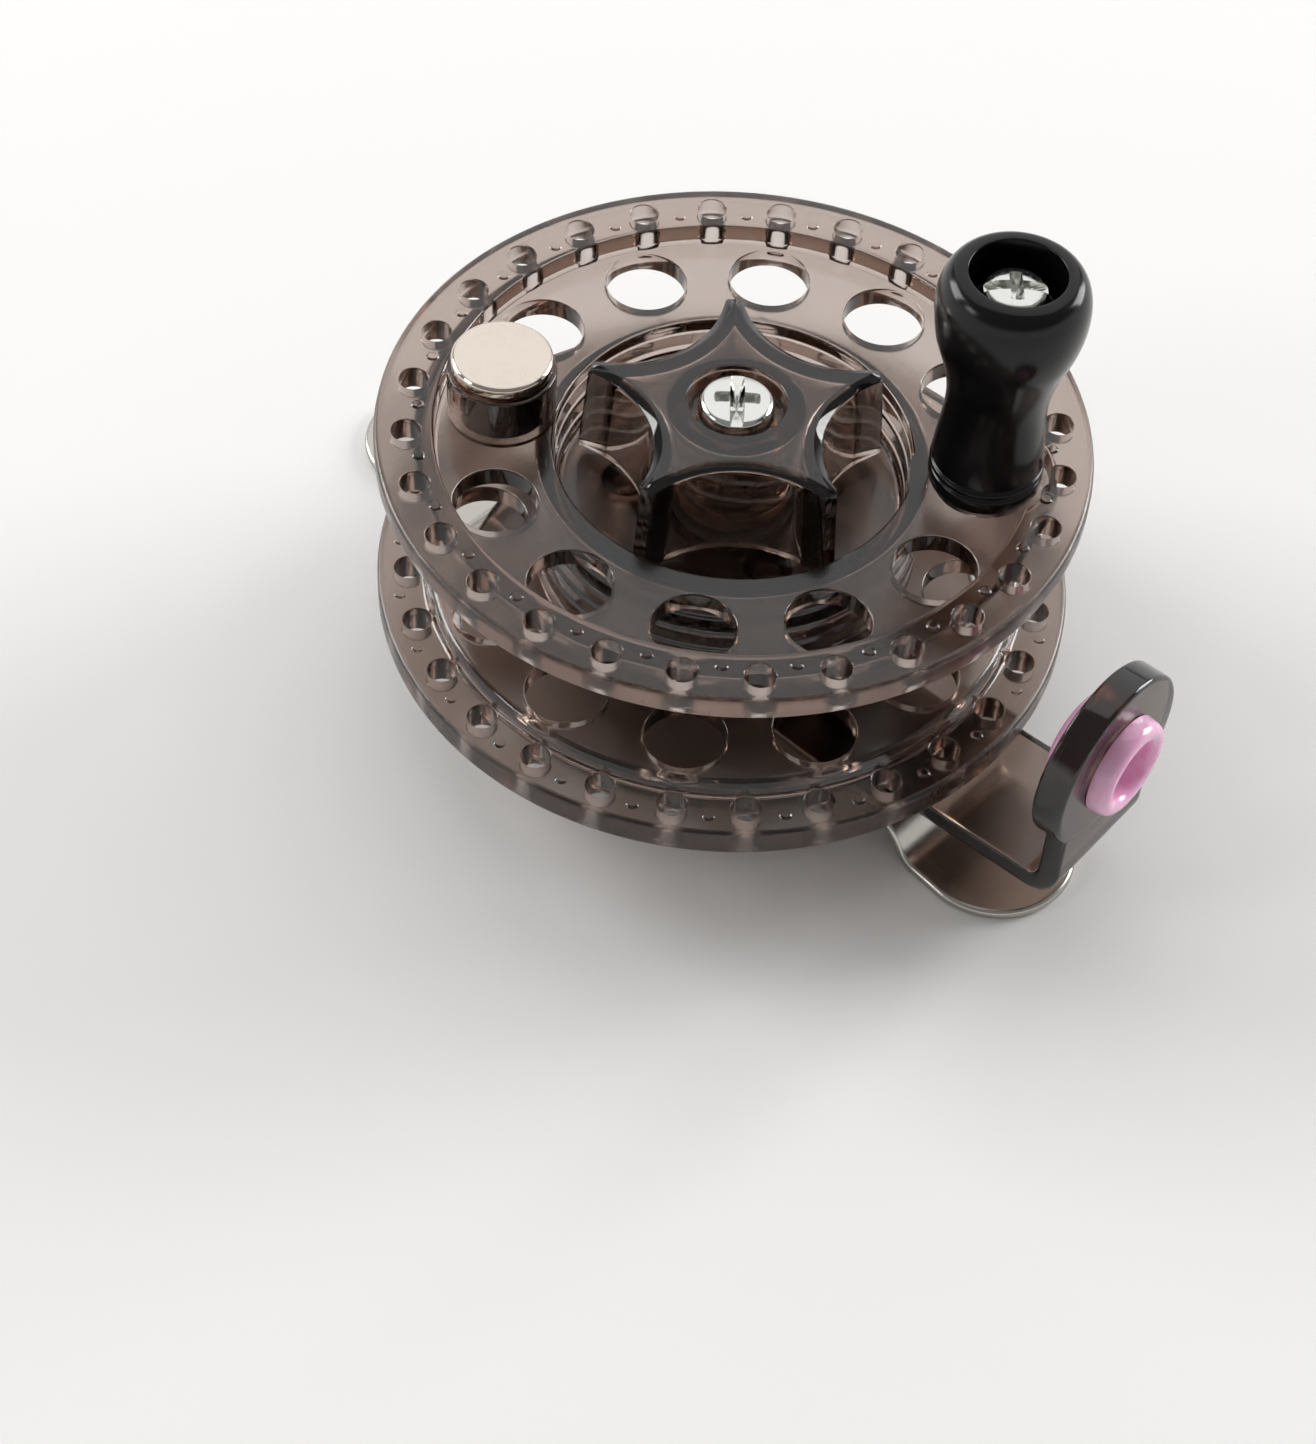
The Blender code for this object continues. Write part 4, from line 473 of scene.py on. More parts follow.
def solid(name, one_skin):
    """Write a skin in mm as a mesh object in metres, closed at its poles, faces outwards."""
    points, quads = one_skin
    mesh = bpy.data.meshes.new(name)
    mesh.from_pydata((points * MM).tolist(), [], quads.tolist())
    bm = bmesh.new()
    bm.from_mesh(mesh)
    bmesh.ops.remove_doubles(bm, verts=bm.verts, dist=WELD)
    bmesh.ops.recalc_face_normals(bm, faces=bm.faces)
    bm.to_mesh(mesh)
    bm.free()
    obj = bpy.data.objects.new(name, mesh)
    bpy.context.scene.collection.objects.link(obj)
    return obj


def turned(name, profile, steps, places=AXIS, closed=False):
    """Soften a profile and turn it into solids at some places. One that doesn't begin and end on
    the axis is closed."""
    return solid(name, copies(turn(soften(profile), around(steps), closed), places))


# %% [markdown]
# ### Holes and bosses
# Holes are cut, and bosses joined, with exact Booleans, and the result is kept as a
# plain mesh. A Boolean now and then drops a sliver of a triangle, so slivers are filled
# again: a volume needs a closed skin. For the same reason no two joined faces lie in one
# plane. A cutter flares at both ends, so that every hole gets a rounded mouth: on clear
# plastic that round catches the light as a bright ring.

# %% Booleans and mouths of holes
SLIVER_SIDES = 6    # a hole that a Boolean leaves has no more


def join(*tools):
    """Return carve()'s steps that join some solids to a piece."""
    return [('UNION', tool) for tool in tools]


def cut(*tools):
    """Return carve()'s steps that cut some solids out of a piece."""
    return [('DIFFERENCE', tool) for tool in tools]


def carve(obj, *steps):
    """Join or cut with other solids in turn, then keep the result as a plain mesh."""
    for operation, tool in steps:
        modifier = obj.modifiers.new(operation, 'BOOLEAN')
        modifier.operation = operation
        modifier.solver = 'EXACT'
        modifier.object = tool
    depsgraph = bpy.context.evaluated_depsgraph_get()
    result = bpy.data.meshes.new_from_object(obj.evaluated_get(depsgraph))
    bm = bmesh.new()
    bm.from_mesh(result)
    open_edges = [edge for edge in bm.edges if edge.is_boundary]
    bmesh.ops.holes_fill(bm, edges=open_edges, sides=SLIVER_SIDES)
    bm.to_mesh(result)
    bm.free()
    obj.modifiers.clear()
    obj.data = result
    for operation, tool in steps:
        bpy.data.objects.remove(tool, do_unlink=True)
    return obj


def bore(low, high, radius, flare, steps, past=1.0):
    """Return the skin of a cutter whose radius grows by the flare, as a quarter round, at each
    end. The round starts 14 degrees in, so that it meets the face at a clear angle."""
    a = np.radians(np.linspace(14.0, 90.0, 5))
    swell = radius + flare * (1 - np.sin(a))
    sink = flare * (1 - np.cos(a))
    wide = radius + flare * 1.15
    top = [(r, high - z) for r, z in zip(swell, sink)]
    bottom = [(r, low + z) for r, z in zip(swell[::-1], sink[::-1])]
    profile = [(0.0, high + past), (wide, high + past)] + top + bottom
    profile += [(wide, low - past), (0.0, low - past)]
    return turn(np.array(profile)[:, None, :], around(steps), closed=False)


def drill(name, places, *sizes):
    """Return cutters at some places; the sizes are those of bore()."""
    return solid(name, copies(bore(*sizes), places))


# %% Satin marks, places and dressing
X, Z = 0, 2
FLAT = 0.97         # share of a normal along an axis from which its face is flat
SHARP = 36.0        # degrees; wider edges stay sharp
BEYOND = 90.0       # mm, past every piece


def mark_satin(obj, *axes, holes=25.9, edge=29.6, rim_top=BEYOND):
    """Write how satin each face is: 0 if polished, 1 if its normal lies along one of the axes or
    it lies in the ring of the rim's holes, 2 on the rim's edge. Above the rim's top all are 0."""
    normals = np.empty(len(obj.data.polygons) * 3)
    obj.data.polygons.foreach_get("normal", normals)
    along = np.abs(normals.reshape(-1, 3)[:, axes]).max(axis=1) > FLAT
    centres = np.empty(len(obj.data.polygons) * 3)
    obj.data.polygons.foreach_get("center", centres)
    x, y, z = centres.reshape(-1, 3).T / MM
    reach = np.hypot(x, y)
    satin = (along | (reach > holes)) + 1.0 * (reach > edge)
    satin[(reach > holes) & (z > rim_top)] = 0.0
    marks = obj.data.attributes.new("satin", 'FLOAT', 'FACE')
    marks.data.foreach_set("value", satin.astype(float))
    print(obj.name, int(along.sum()), "satin faces")
    return obj


def on_circle(radius, degrees):
    """Return the points at a radius and at each angle, in degrees."""
    a = np.radians(np.atleast_1d(degrees))
    return [(radius * math.cos(t), radius * math.sin(t)) for t in a]


def dress(obj, material, body, slot, *nodes):
    """Give a piece its finish and even shading, and let it ride and stand for its CAD nodes."""
    obj.data.materials.clear()
    obj.data.materials.append(material)
    obj.data.shade_smooth()
    obj.data.set_sharp_from_angle(angle=math.radians(SHARP))
    even = obj.modifiers.new("Even normals", 'WEIGHTED_NORMAL')
    even.keep_sharp = True
    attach(obj, body)
    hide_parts(*nodes)
    print(obj.name, len(obj.data.polygons), "faces")


# %% [markdown]
# ## The spool's front half
# One moulding: a rim with 28 small holes, a sunken web with large ones, the drum that
# the line lies on, and the deep well that the star knob turns in, all turned in one. A
# seat and a boss for the handle, a cup for the counterweight, three screw posts and
# low pips between the small holes are joined to it. Where the handle's base turns, the
# rim has a round notch.

# %% Places and levels on the spool
RIM_HOLES = 28
RIM_ANGLES = 120.5 + np.arange(RIM_HOLES) * 360.0 / RIM_HOLES
RIM_PLACES = on_circle(27.3, RIM_ANGLES)
WEB_PLACES = on_circle(21.0, 30.5 + np.arange(12) * 30.0)
HANDLE_PLACE = WEB_PLACES[:1]
FREE_PLACES = WEB_PLACES[1:6] + WEB_PLACES[7:]    # neither handle nor counterweight
WEIGHT_PLACE = on_circle(19.75, 210.5)
SCREW_PLACES = on_circle(8.9, 90.5 + np.arange(3) * 120.0)
FRONT_RIM, FRONT_WEB = (25.8, 28.0), (24.2, 26.0)   # underside and top
REAR_RIM, REAR_WEB = (8.7, 11.35), (10.9, 12.7)
SMALL_HOLE, LARGE_HOLE = (1.25, 0.12, 28), (3.5, 0.16, 56)   # radius, flare, steps
JUST_ABOVE = 0.01   # mm
print(len(RIM_PLACES), "small holes and", len(FREE_PLACES), "large ones in front")


# %% Front half
def drum_side(top, bottom, radius=16.4, pitch=1.9, depth=0.25, half=0.35):
    """Return the drum's outer corners, with five shallow grooves for the line."""
    middle = (top + bottom) / 2
    corners = [(radius, top, 0.25)]
    for k in (2, 1, 0, -1, -2):
        z = middle + k * pitch
        corners += [(radius, z + half, 0.12), (radius - depth, z, 0.2), (radius, z - half, 0.12)]
    return corners + [(radius, bottom, 0.15)]


def pips(name, foot, circle, radius=0.55, rise=0.16, sunk=0.2):
    """Return low discs halfway between the rim's holes. Their edges slope at 45 degrees, on into
    the face that they stand on."""
    profile = [(0.0, foot + rise, 0.0), (radius - rise, foot + rise, 0.1),
               (radius + sunk, foot - sunk, 0.0), (0.0, foot - sunk, 0.0)]
    return turned(name, profile, 24, on_circle(circle, RIM_ANGLES + 180.0 / RIM_HOLES))


def front_half():
    """Turn the rim, web, drum, well and hub, then join what stands on them and cut the holes."""
    profile = [(25.0, 28.0, 0.3), (30.0, 28.0, 0.55), (30.0, 25.8, 0.45), (26.5, 25.8, 0.3),
               (26.2, 24.2, 0.4), *drum_side(24.2, 13.0), (15.0, 13.0, 0.1), (15.0, 19.2, 0.3),
               (6.2, 19.2, 0.3), (6.2, 15.6, 0.1), (4.8, 15.6, 0.1), (4.8, 19.2, 0.05),
               (3.4, 19.2, 0.1), (3.4, 20.8, 0.15), (14.7, 20.8, 0.6), (15.1, 26.0, 0.35),
               (25.0, 26.0, 0.4)]
    half = turned("spool_front_half", profile, 192, closed=True)
    seat = [(0.0, 25.99, 0.0), (6.3, 25.99, 0.0), (6.3, 24.21, 0.3), (0.0, 24.21, 0.0)]
    boss = [(0.0, 26.3, 0.0), (4.2, 26.3, 0.1), (4.2, 25.1, 0.0), (0.0, 25.1, 0.0)]
    cup = [(3.85, 30.9, 0.22), (4.6, 30.9, 0.22), (4.6, 25.1, 0.0), (3.85, 25.1, 0.0)]
    post = [(0.0, 20.0, 0.0), (2.1, 20.0, 0.0), (2.1, 13.0, 0.15), (0.0, 13.0, 0.0)]
    added = join(turned("seat", seat, 72, HANDLE_PLACE),
                 turned("cup", cup, 72, WEIGHT_PLACE, closed=True),
                 turned("posts", post, 32, SCREW_PLACES), pips("pips", FRONT_RIM[1], 26.45))
    notch = drill("notch", HANDLE_PLACE, 20.0, FRONT_RIM[1], 5.5, 0.35, 72)
    below = [(0.0, 25.995, 0.0), (8.0, 25.995, 0.0), (8.0, 10.0, 0.0), (0.0, 10.0, 0.0)]
    carve(notch, *cut(turned("below", below, 24, HANDLE_PLACE)))
    return carve(half, *added, *cut(notch), *join(turned("boss", boss, 48, HANDLE_PLACE)),
                 *cut(drill("rim_holes", RIM_PLACES, *FRONT_RIM, *SMALL_HOLE),
                      drill("web_holes", FREE_PLACES, *FRONT_WEB, *LARGE_HOLE),
                      drill("screw_holes", SCREW_PLACES, 14.0, 16.3, 1.2, 0.0, 20, 1.5),
                      drill("handle_hole", HANDLE_PLACE, 23.0, 27.0, 1.6, 0.0, 24)))


dress(mark_satin(front_half(), Z, rim_top=FRONT_RIM[1] + JUST_ABOVE), SMOKE, "spool",
      "smoky_polycarbonate", "spool_front")


# %% [markdown]
# ## The spool's rear half
# The same rim and web from behind, thicker at the edge and with all twelve large
# holes, a spigot that centres it in the drum, and the hub for the rear bearing.

# %% Rear half
def rear_half():
    """Turn the rim, web, spigot and hub, then cut the holes."""
    profile = [(13.3, 15.5, 0.2), (14.7, 15.5, 0.2), (14.7, 12.7, 0.1), (25.4, 12.7, 0.35),
               (26.15, 11.35, 0.35), (30.0, 11.35, 0.45), (30.0, 8.7, 0.55), (25.0, 8.7, 0.3),
               (25.0, 10.9, 0.4), (6.2, 10.9, 0.25), (6.2, 8.8, 0.2), (3.9, 8.8, 0.1),
               (3.9, 10.9, 0.1), (4.8, 10.9, 0.05), (4.8, 14.6, 0.1), (6.2, 14.6, 0.2),
               (6.2, 12.7, 0.25), (13.3, 12.7, 0.25)]
    half = turned("spool_rear_half", profile, 192, closed=True)
    return carve(half, *join(pips("rear_pips", REAR_RIM[1], 28.2)),
                 *cut(drill("rear_rim_holes", RIM_PLACES, *REAR_RIM, *SMALL_HOLE),
                      drill("rear_web_holes", WEB_PLACES, *REAR_WEB, *LARGE_HOLE),
                      drill("rear_screw_holes", SCREW_PLACES, *REAR_WEB, 1.2, 0.0, 20)))


dress(mark_satin(rear_half(), Z, rim_top=REAR_RIM[1] + JUST_ABOVE), SMOKE, "spool",
      "smoky_polycarbonate", "spool_rear")


# %% [markdown]
# ## The star knob
# A five-pointed shell, open below, that winds on the spindle to set the drag. It is a
# turned piece whose radius changes with the angle: outside and inside the radius is
# that of a star with hollow sides, in the middle it is a circle, and round the insert
# nut it is a hexagon. One grid of rows then makes the whole shell, with no Boolean.

# %% Star and hexagon as radii
TIPS = 5


def star_angles(steps=48, lean=1.7, phase=58.2):
    """Return angles that crowd towards the tips, and how far each is from its side's middle."""
    s = np.arange(-steps // 2, steps // 2) / (steps / 2)
    within = np.sign(s) * (1 - (1 - np.abs(s)) ** lean) * 180.0 / TIPS
    sides = phase + 180.0 / TIPS + np.arange(TIPS) * 360.0 / TIPS
    angles = (sides[:, None] + within[None]).reshape(-1)
    return np.radians(angles), np.radians(np.tile(within, TIPS))


def star(within, set_in, reach=12.75, side=7.7, bend=9.28, soft=0.45):
    """Return the radius, at angles within a side, of a star set in by some mm.

    Each side is an arc that is nearest the axis in its middle. The ray at angle f
    meets it at D cos f - sqrt(b b - D D sin f sin f), where b is the arc's radius and
    D the distance of its centre. The tip is cut off at its reach by a smooth minimum.
    """
    away, hollow, flat = side + bend, bend + set_in, reach - set_in
    inside_root = np.maximum(hollow ** 2 - (away * np.sin(within)) ** 2, 0.0)
    arc = away * np.cos(within) - np.sqrt(inside_root)
    tip = flat / np.cos(math.pi / TIPS - np.abs(within))
    return -soft * np.logaddexp(-arc / soft, -tip / soft)


def hexagon(angles, flats):
    """Return a hexagon's radius at each angle: half the flats over the cosine from the flat."""
    return flats / 2 / np.cos((angles % (math.pi / 3)) - math.pi / 6)


# %% Star knob
def star_knob(draft=1.055):
    """Carry the knob's section round the axis, from the counterbore outwards and back inside. The
    draft is how much wider its skirt is at the lower end."""
    angles, within = star_angles()
    top, edge, inner = star(within, 0.0), star(within, 0.75), star(within, 1.4)
    nut_hole = hexagon(angles, 7.6)
    profile = [(2.7, 29.1, 0.05), (4.15, 29.1, 0.15), (4.15, 31.1, 0.12), (edge, 31.1, 0.1),
               (top, 30.68, 0.12), (top * draft, 22.0, 0.2), (inner * draft, 22.0, 0.2),
               (inner, 29.7, 0.3), (5.7, 29.7, 0.2), (5.7, 23.3, 0.15), (4.12, 23.3, 0.1),
               (4.12, 25.4, 0.05), (nut_hole, 25.4, 0.05), (nut_hole, 27.9, 0.05),
               (2.7, 27.9, 0.05)]
    return solid("star_knob_shell", turn(soften(profile), angles))


dress(mark_satin(star_knob(), Z), SMOKE, "drag", "smoky_polycarbonate", "star_knob")


# %% [markdown]
# ## Handle
# A black hourglass that the fingers roll, moulded over a steel sleeve. The CAD
# outline serves as the control points of a smooth curve: a softness longer than every
# side makes the parabolas meet, which is a quadratic B-spline.

# %% Handle
LONGER = 9.0   # mm; a softness longer than every side of the outline
HANDLE_OUTLINE = (   # height, radius
    (49.20, 4.34), (49.10, 4.88), (48.74, 5.38), (48.06, 5.80), (47.10, 6.10), (46.00, 6.21),
    (44.80, 6.19), (43.60, 6.02), (42.30, 5.74), (40.90, 5.25), (39.30, 4.73), (37.60, 4.33),
    (35.90, 4.16), (34.00, 4.22), (32.00, 4.44), (30.20, 4.62), (29.55, 4.68), (29.42, 4.68),
    (29.32, 4.46), (29.12, 4.46), (29.00, 4.74), (28.60, 4.78), (28.48, 4.50), (28.26, 4.50),
    (28.12, 4.76), (27.20, 4.74), (26.80, 4.64), (26.60, 4.40),
)


def handle():
    """Turn the handle's wall: hourglass outside, a cup at the top and a bore below it."""
    outside = [(radius, height, LONGER) for height, radius in HANDLE_OUTLINE]
    inside = [(2.35, 26.6, 0.2), (2.35, 45.0, 0.05), (3.9, 45.0, 0.35), (3.9, 49.2, 0.14)]
    return turned("handle_grip", outside + inside, 96, HANDLE_PLACE, closed=True)


dress(handle(), NYLON, "handle", "black_nylon", "handle_knob")


# %% [markdown]
# ## Screws
# All are pan heads with a cross recess and one slot that is longer. The head is
# turned; the recess is cut with a tapered cross, again a radius that depends on the
# angle. Threads are drawn as plain rings, which look the same at this size.

# %% Screws
FOOT_TURN = -3.7    # degrees from the arm to the foot, seen from above
FOOT_SCREW_PLACES = on_circle(16.0, (FOOT_TURN, FOOT_TURN + 180.0))


def cross(angles, long, short, half_width):
    """Return a cross's radius: for each bar, its half length or the half width over the sine."""
    along = np.minimum(long, half_width / np.maximum(np.abs(np.sin(angles)), 1e-6))
    across = np.minimum(short, half_width / np.maximum(np.abs(np.cos(angles)), 1e-6))
    return np.maximum(along, across)


def thread(radius, high, low, pitch=0.5, depth=0.18):
    """Return corners that run down a shank in small ridges."""
    count = int((high - low) / pitch)
    heights = high - (np.arange(2 * count) + 0.5) * (high - low) / (2 * count)
    return [(radius - depth * (k % 2), z, 0.05) for k, z in enumerate(heights)]


def pan_screw(name, place, head_radius, head_low, head_high, shank_radius, shank_end, slot_angle,
              points_up=False):
    """Make a pan-head screw. One that points up is drawn head upwards and then turned over."""
    rise = head_high - head_low
    profile = [(0.0, head_high, 0.0), (head_radius * 0.5, head_high - rise * 0.03, 0.5),
               (head_radius * 0.93, head_high - rise * 0.16, 0.35),
               (head_radius, head_low + rise * 0.5, rise * 0.2), (head_radius, head_low, 0.06),
               (shank_radius, head_low, 0.05),
               *thread(shank_radius, head_low - 0.4, shank_end + 0.3),
               (shank_radius * 0.6, shank_end, 0.1), (0.0, shank_end, 0.0)]
    screw = turned(name, profile, 64)
    angles = around(160)
    outline = cross(angles, head_radius * 1.1, head_radius * 0.6, head_radius * 0.19)
    depth = np.where(outline > head_radius * 0.62, rise * 0.34, rise * 0.7)
    recess = [(0.0, head_high + 1.0, 0.0), (outline * 1.1, head_high + 1.0, 0.0),
              (outline, head_high - depth * 0.1, 0.0),
              (outline * 0.86, head_high - depth * 0.75, 0.0),
              (outline * 0.45, head_high - depth, 0.0), (0.0, head_high - rise * 0.73, 0.0)]
    carve(screw, *cut(solid("recess", turn(soften(recess, 2), angles, closed=False))))
    pose = Matrix.Rotation(math.radians(slot_angle), 4, 'Z')
    if points_up:
        turned_over = Matrix.Diagonal((1, -1, -1, 1))
        pose = Matrix.Translation((0, 0, 2 * head_low * MM)) @ turned_over @ pose
    screw.data.transform(Matrix.Translation((place[0] * MM, place[1] * MM, 0)) @ pose)
    return screw


def zinc_screw(name, node, body, *sizes):
    """Make and dress a screw; the sizes are those of pan_screw()."""
    dress(pan_screw(name, *sizes), ZINC, body, "zinc_plated_steel", node)


zinc_screw("centre_pan_screw", "centre_screw", "frame", (0, 0), 3.2, 29.4, 31.5, 1.3, 25.0, 128.0)
zinc_screw("handle_pan_screw", "handle_screw", "spool", HANDLE_PLACE[0],
           2.7, 45.6, 48.0, 1.3, 24.2, 40.0)
for name, place, slot_angle in (("foot_screw_front", FOOT_SCREW_PLACES[0], 20.0),
                                ("foot_screw_rear", FOOT_SCREW_PLACES[1], 65.0)):
    zinc_screw(name + "_pan", name, "frame", place, 2.5, 3.0, 4.3, 1.1, -2.4, slot_angle, True)
for number, place in enumerate(SCREW_PLACES, start=1):
    zinc_screw("spool_pan_screw_%d" % number, "spool_screw_%d" % number, "spool", place,
               1.6, 8.6, 9.4, 0.9, 0.1, 30.0 * number, True)


# %% [markdown]
# ## Counterweight
# A nickel plated slug balances the handle. Its head rests on the rim of the cup; the
# edge is polished round, the top rubbed flat.

# %% Counterweight
def counterweight():
    """Turn the slug and its wider head."""
    profile = [(0.0, 32.25, 0.0), (4.28, 32.25, 0.5), (4.28, 31.2, 0.2), (3.55, 31.2, 0.05),
               (3.55, 26.3, 0.2), (0.0, 26.3, 0.0)]
    return solid("counterweight_slug", copies(turn(soften(profile, 6), around(96), closed=False),
                                              WEIGHT_PLACE))


dress(mark_satin(counterweight(), Z), NICKEL, "spool", "nickel_plated_brass", "counterweight")


# %% [markdown]
# ## Back plate and guide arm
# One moulding carries everything that stands still. The arm is a soft-cornered bar
# carried along a path that bends upwards; the plate and the guide's head are turned,
# the head about a level axis. All are joined, and the holes are cut last.

# %% Paths
def smooth_path(corners, steps=8):
    """Round the corners of an open path of (x, z, softness) points in the plane of X and Z."""
    return soften(corners, steps)[:, 0, :]


def path_normals(path):
    """Return unit normals of a path, a quarter turn to the left of the way it runs."""
    ahead = np.gradient(path, axis=0)
    tangent = ahead / np.linalg.norm(ahead, axis=1, keepdims=True)
    return np.stack([-tangent[:, 1], tangent[:, 0]], -1)


def bar(path, half_width, half_height, soft):
    """Carry a rectangle with soft corners along a path, with a flat cap at both ends."""
    corners = [(across * half_width, along * half_height, soft)
               for across, along in ((1, 1), (1, -1), (-1, -1), (-1, 1))]
    section = soften(corners, 5)[:, 0]
    rise = section[None, :, 1, None] * path_normals(path)[:, None, :]
    plane = path[:, None, :] + rise
    side = np.broadcast_to(section[None, :, 0], plane.shape[:2])
    return capped(np.stack([plane[..., 0], side, plane[..., 1]], -1))


GUIDE_HEIGHT = 17.5   # mm


def along_x(one_skin):
    """Lay a turned skin on its side: its axis becomes X, at the guide's height."""
    points, quads = one_skin
    return np.stack([points[:, 2], points[:, 1], GUIDE_HEIGHT - points[:, 0]], -1), quads


# %% Back plate
def block(name, low, high):
    """Make a plain box between two corners, for rails and slots."""
    low, high = np.array(low, float), np.array(high, float)
    path = np.array([((low[0] + high[0]) / 2, z) for z in (low[2], high[2])])
    tall = bar(path, (high[1] - low[1]) / 2, (high[0] - low[0]) / 2, 0.0)
    return solid(name, (tall[0] + np.array([0.0, (low[1] + high[1]) / 2, 0.0]), tall[1]))


def back_plate():
    """Join the plate, the arm, the guide's head, two bosses and two rails, then cut the holes."""
    disc = [(1.0, 6.6, 0.0), (23.0, 6.6, 0.4), (23.0, 4.6, 0.4), (1.0, 4.6, 0.0)]
    plate = turned("back_plate_moulding", disc, 144, closed=True)
    path = smooth_path([(2.0, 5.6, 0.0), (30.0, 5.6, 0.0), (39.8, 5.6, 2.2),
                        (39.8, GUIDE_HEIGHT, 0.0)], 12)
    arm = solid("arm", bar(path, 6.2, 0.99, 0.5))
    head = [(1.0, 40.8, 0.0), (8.0, 40.8, 0.4), (8.0, 38.0, 0.35), (1.0, 38.0, 0.0)]
    head = solid("head", along_x(turn(soften(head), around(96))))
    boss = [(0.0, 9.6, 0.0), (2.8, 9.6, 0.2), (2.8, 5.6, 0.0), (0.0, 5.6, 0.0)]
    bosses = turned("bosses", boss, 40, FOOT_SCREW_PLACES)
    rails = [block("rail_%d" % (side > 0), (min(side * 3.8, side * 4.6), 13.1, 5.6),
                   (max(side * 3.8, side * 4.6), 20.6, 7.7)) for side in (-1, 1)]
    return carve(plate, *join(arm, head, bosses, *rails),
                 *cut(solid("guide_hole", along_x(bore(38.0, 40.8, 3.9, 0.1, 56))),
                      drill("screw_holes", FOOT_SCREW_PLACES, 4.6, 7.5, 1.4, 0.0, 28, 1.2),
                      drill("spindle_hole", AXIS, 4.6, 6.6, 2.7, 0.1, 40),
                      block("tab_slot", (-1.8, 15.3, 3.6), (1.8, 19.31, 7.6))))


dress(mark_satin(back_plate(), X, Z, holes=BEYOND, edge=BEYOND), DEEP_SMOKE, "frame",
      "smoky_polycarbonate", "back_plate")


# %% [markdown]
# ## Guide ring
# A ceramic ring with a flange on each face of the guide's head. The line rubs on it,
# so every edge is a full round.

# %% Guide ring
def guide_ring():
    """Turn the ring and lay it along X."""
    profile = [(2.8, 42.6, 0.85), (4.3, 42.6, 0.9), (4.5, 40.84, 0.12), (3.8, 40.84, 0.1),
               (3.8, 37.96, 0.1), (4.5, 37.96, 0.12), (4.3, 36.4, 0.8), (2.8, 36.4, 0.85)]
    return solid("guide_ring_ceramic", along_x(turn(soften(profile, 7), around(96))))


dress(guide_ring(), CERAMIC, "frame", "pink_ceramic", "guide_ring")


# %% [markdown]
# ## Rod foot
# One strip of stainless steel, stamped to two round-ended pads and bent up into a
# bridge, with its edges tumbled round. The strip's outline is followed from the rear
# tip to the front one; at each point the edge's half round is set inwards along the
# outline's own normal, and the whole strip then follows the bends.

# %% Rod foot
PAD_RADIUS, BRIDGE_HALF = 7.03, 6.6
REAR_PAD, FRONT_PAD = -35.67, 32.47   # where the pads' round ends have their middles


def foot_outline():
    """Return one side of the strip's plan, (x, half width), from the rear tip to the front tip."""
    a = np.linspace(0.0, math.pi / 2, 22)
    rear = np.stack([REAR_PAD - PAD_RADIUS * np.cos(a), PAD_RADIUS * np.sin(a)], -1)
    x = np.concatenate([np.linspace(-32.0, -21.0, 34), np.linspace(-18.0, 21.0, 8),
                        np.linspace(24.0, 30.0, 26)])
    front = np.stack([FRONT_PAD + PAD_RADIUS * np.sin(a), PAD_RADIUS * np.cos(a)], -1)
    half = np.interp(x, [REAR_PAD, -24.8, 27.7, FRONT_PAD],
                     [PAD_RADIUS, BRIDGE_HALF, BRIDGE_HALF, PAD_RADIUS])
    return np.concatenate([rear, np.stack([x, half], -1), front])


def rod_foot(half_height=0.5, edge=0.4):
    """Shape the strip on a grid: stations along the outline, columns round the section."""
    outline = foot_outline()
    inward = -path_normals(outline) * np.where(outline[:, 1:] > SAME_POINT, 1.0, 0.0)
    inward[0], inward[-1] = (1.0, 0.0), (-1.0, 0.0)
    a = np.linspace(math.pi / 2, 0.0, 5)
    set_in = np.concatenate([edge * (1 - np.cos(a)), edge * (1 - np.cos(a[::-1]))])
    lift = np.concatenate([half_height - edge + edge * np.sin(a),
                           -(half_height - edge + edge * np.sin(a[::-1]))])
    x = outline[:, None, 0] + inward[:, None, 0] * set_in
    y = outline[:, None, 1] + inward[:, None, 1] * set_in
    x = np.concatenate([x, x[:, ::-1]], 1)
    y = np.concatenate([np.maximum(y, 0.0), -np.maximum(y, 0.0)[:, ::-1]], 1)
    lift = np.concatenate([lift, lift[::-1]])
    middle = smooth_path([(-43.5, 0.5, 0.0), (-25.05, 0.5, 1.4), (-22.65, 3.8, 1.4),
                          (25.55, 3.8, 1.4), (27.95, 0.5, 1.4), (40.5, 0.5, 0.0)], 9)
    normal = path_normals(middle)
    lean, level = [np.interp(x, middle[:, 0], normal[:, k]) for k in (0, 1)]
    height = np.interp(x, middle[:, 0], middle[:, 1])
    rows = np.stack([x + lift * lean, y, height + lift * level], -1)
    foot = solid("rod_foot_strip", skin(rows, closed=False))
    foot.data.transform(Matrix.Rotation(math.radians(FOOT_TURN), 4, 'Z'))
    return carve(foot, *cut(drill("foot_holes", FOOT_SCREW_PLACES, 3.3, 4.3, 1.4, 0.1, 32),
                            drill("foot_bore", AXIS, 3.3, 4.3, 2.7, 0.1, 40)))


dress(rod_foot(), STAINLESS, "frame", "stainless_steel", "rod_foot")


# %% [markdown]
# ## Spindle and nuts
# The spindle is a turned steel pin with a flange that clamps the back plate. Its nut
# shows from below. A nut's corners are cut back by a cone, which leaves the curved
# edges that every hexagon nut has: the further a point is from the axis, the lower
# its corner starts.

